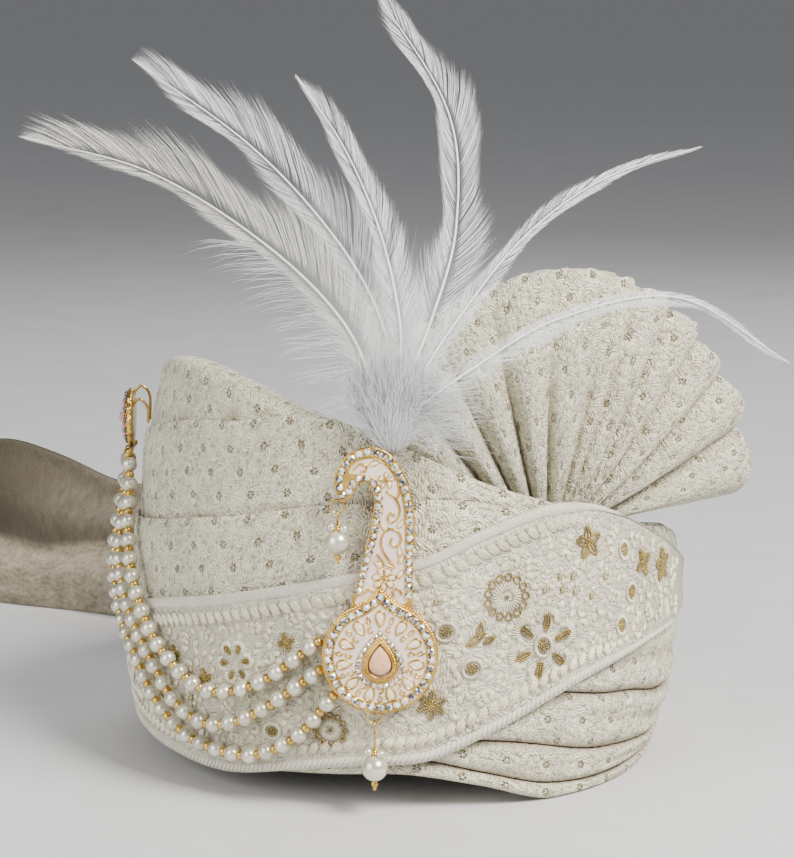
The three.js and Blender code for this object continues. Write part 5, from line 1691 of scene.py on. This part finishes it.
def make_side_brooch():
    """A round brooch at the left: a scalloped back, rings of stones and crystals, a bar and two hooks."""
    bead, small = ball_shape(8, 6), ball_shape(16, 10)
    turn = np.linspace(0, 2 * math.pi, 96, endpoint=False)
    scallop = SIDE_RADIUS - 0.45 + 0.45 * np.cos(14 * turn)
    parts, rose, clear = [], [], []

    def at(out, y, z):
        return SIDE + (out, y, z)

    def face_ring(radius, out):
        return SIDE + np.stack([np.full(len(turn), out), radius * np.cos(turn), radius * np.sin(turn)], -1)

    def axes(count):
        return [np.tile(v, (count, 1)) for v in ((0.0, 1.0, 0.0), (0.0, 0.0, 1.0), (1.0, 0.0, 0.0))]

    profile = ((0.05, 1.2), (0.9, 1.2), (0.98, 1.0), (1.0, 0.2), (0.98, -0.9), (0.9, -1.2), (0.05, -1.2))
    points = np.concatenate([face_ring(scallop * share, out) for share, out in profile])
    n, last = len(turn), len(profile) - 1
    faces = [[r * n + k, (r + 1) * n + k, (r + 1) * n + (k + 1) % n, r * n + (k + 1) % n]
             for r in range(last) for k in range(n)]
    faces += [list(range(n)), [last * n + k for k in reversed(range(n))]]
    parts.append((points, [f[::-1] for f in faces]))
    stone_rings = ((14, 9.4, 1.15, clear, -1.7), (10, 6.2, 1.7, rose, -2.3), (1, 0.0, 3.0, rose, -2.6))
    for count, radius, size, group, out in stone_rings:
        for k in range(count):
            a = 2 * math.pi * k / count
            group.append((at(out, radius * math.cos(a), radius * math.sin(a)), size))
    finishes = ((rose, "rose_stones", ROSE, ["side_brooch_stones"]), (clear, "side_crystals", CRYSTAL, []))
    for group, name, material, nodes in finishes:
        places, sizes = [g[0] for g in group], np.array([g[1] for g in group])
        domes = repeat((small[0] * (1, 1, 0.75), small[1]), places, *axes(len(group)), sizes)
        settle(add_piece(name, *domes, material), "pink_stone", *nodes)
    grains = 44
    ring = 2 * math.pi * np.arange(grains) / grains
    places = [at(-1.3, 8.0 * math.cos(a), 8.0 * math.sin(a)) for a in ring]
    places += [at(-1.6, 3.9 * math.cos(a), 3.9 * math.sin(a)) for a in ring[::2]]
    parts.append(repeat(bead, places, *axes(len(places)), np.full(len(places), 0.55)))
    bar_z = -SIDE_RADIUS - 0.7
    bar = np.array([at(0, -SIDE_BAR / 2 + 1, bar_z), at(0, 0, bar_z), at(0, SIDE_BAR / 2 - 1, bar_z)])
    parts.append(tube(bar, 1.15, 10))
    ends = [at(0, side * (SIDE_BAR / 2 - 1.1), bar_z) for side in (-1, 1)]
    parts.append(repeat(small, ends, *axes(2), (1.4, 1.4)))
    for y, top in ((-4.5, 7.6), (4.5, 11.6)):
        hook = ((0, top - 5.4), (1.6, top - 1.4), (4.2, top), (7.0, top - 3.6), (7.0, -1.8))
        line = smooth_line([at(out, y, z) for out, z in hook], 8)
        parts.append(tube(line, 0.55, 8))
    settle(add_piece("side_mount", *joined(parts), GOLD), "gold", "side_brooch_frame")


# Stage, light and camera

def add_light(name, place, aim, size, power, colour=(1, 1, 1)):
    bpy.ops.object.light_add(type="AREA", location=place)
    lamp = bpy.context.object
    lamp.name = name
    lamp.data.size = size
    lamp.data.energy = power
    lamp.data.color = colour
    way = np.array(aim) - np.array(place)
    flat = math.hypot(way[0], way[1])
    lamp.rotation_euler = (math.atan2(flat, -way[2]), 0, math.atan2(way[1], way[0]) - math.pi / 2)


def make_stage():
    bpy.ops.mesh.primitive_plane_add(size=80, location=(0, 0, 0))
    floor = bpy.context.object
    floor.name = "floor"
    floor.data.materials.append(pale_floor("pale_floor"))
    world = bpy.data.worlds.new("studio") if bpy.context.scene.world is None else bpy.context.scene.world
    bpy.context.scene.world = world
    world.use_nodes = True
    sky = world.node_tree.nodes["Background"]
    sky.inputs["Color"].default_value = (0.95, 0.97, 1.0, 1)
    sky.inputs["Strength"].default_value = 0.26


CAMERA_PLACE = (-3.23 * MM, -1135.84 * MM, 301.59 * MM)
CAMERA_TILT = 81.0
FOCAL_PIXELS = 2875.0
IMAGE_HEIGHT = 858.0


def make_camera():
    data = bpy.data.cameras.new("photo_view")
    data.sensor_fit = "VERTICAL"
    data.sensor_height = 36.0
    data.lens = data.sensor_height * FOCAL_PIXELS / IMAGE_HEIGHT
    camera = bpy.data.objects.new("photo_view", data)
    camera.location = CAMERA_PLACE
    camera.rotation_euler = (math.radians(CAMERA_TILT), 0, 0)
    bpy.context.scene.collection.objects.link(camera)
    bpy.context.scene.camera = camera


make_camera()
make_stage()
add_light("window_light", (0.75, -0.75, 1.15), (0, 0, 0.1), 0.7, 56, (1.0, 0.97, 0.92))
add_light("left_fill", (-1.1, -1.0, 0.7), (0, 0, 0.1), 1.2, 21, (0.99, 0.98, 0.97))
add_light("back_light", (0.3, 1.2, 1.2), (0, 0, 0.1), 1.0, 10)
make_cap()
make_wraps()
make_band()
make_embroidery()
make_fan()
make_tail()
make_plume()
make_strings()
make_brooch()
make_drops()
make_side_brooch()
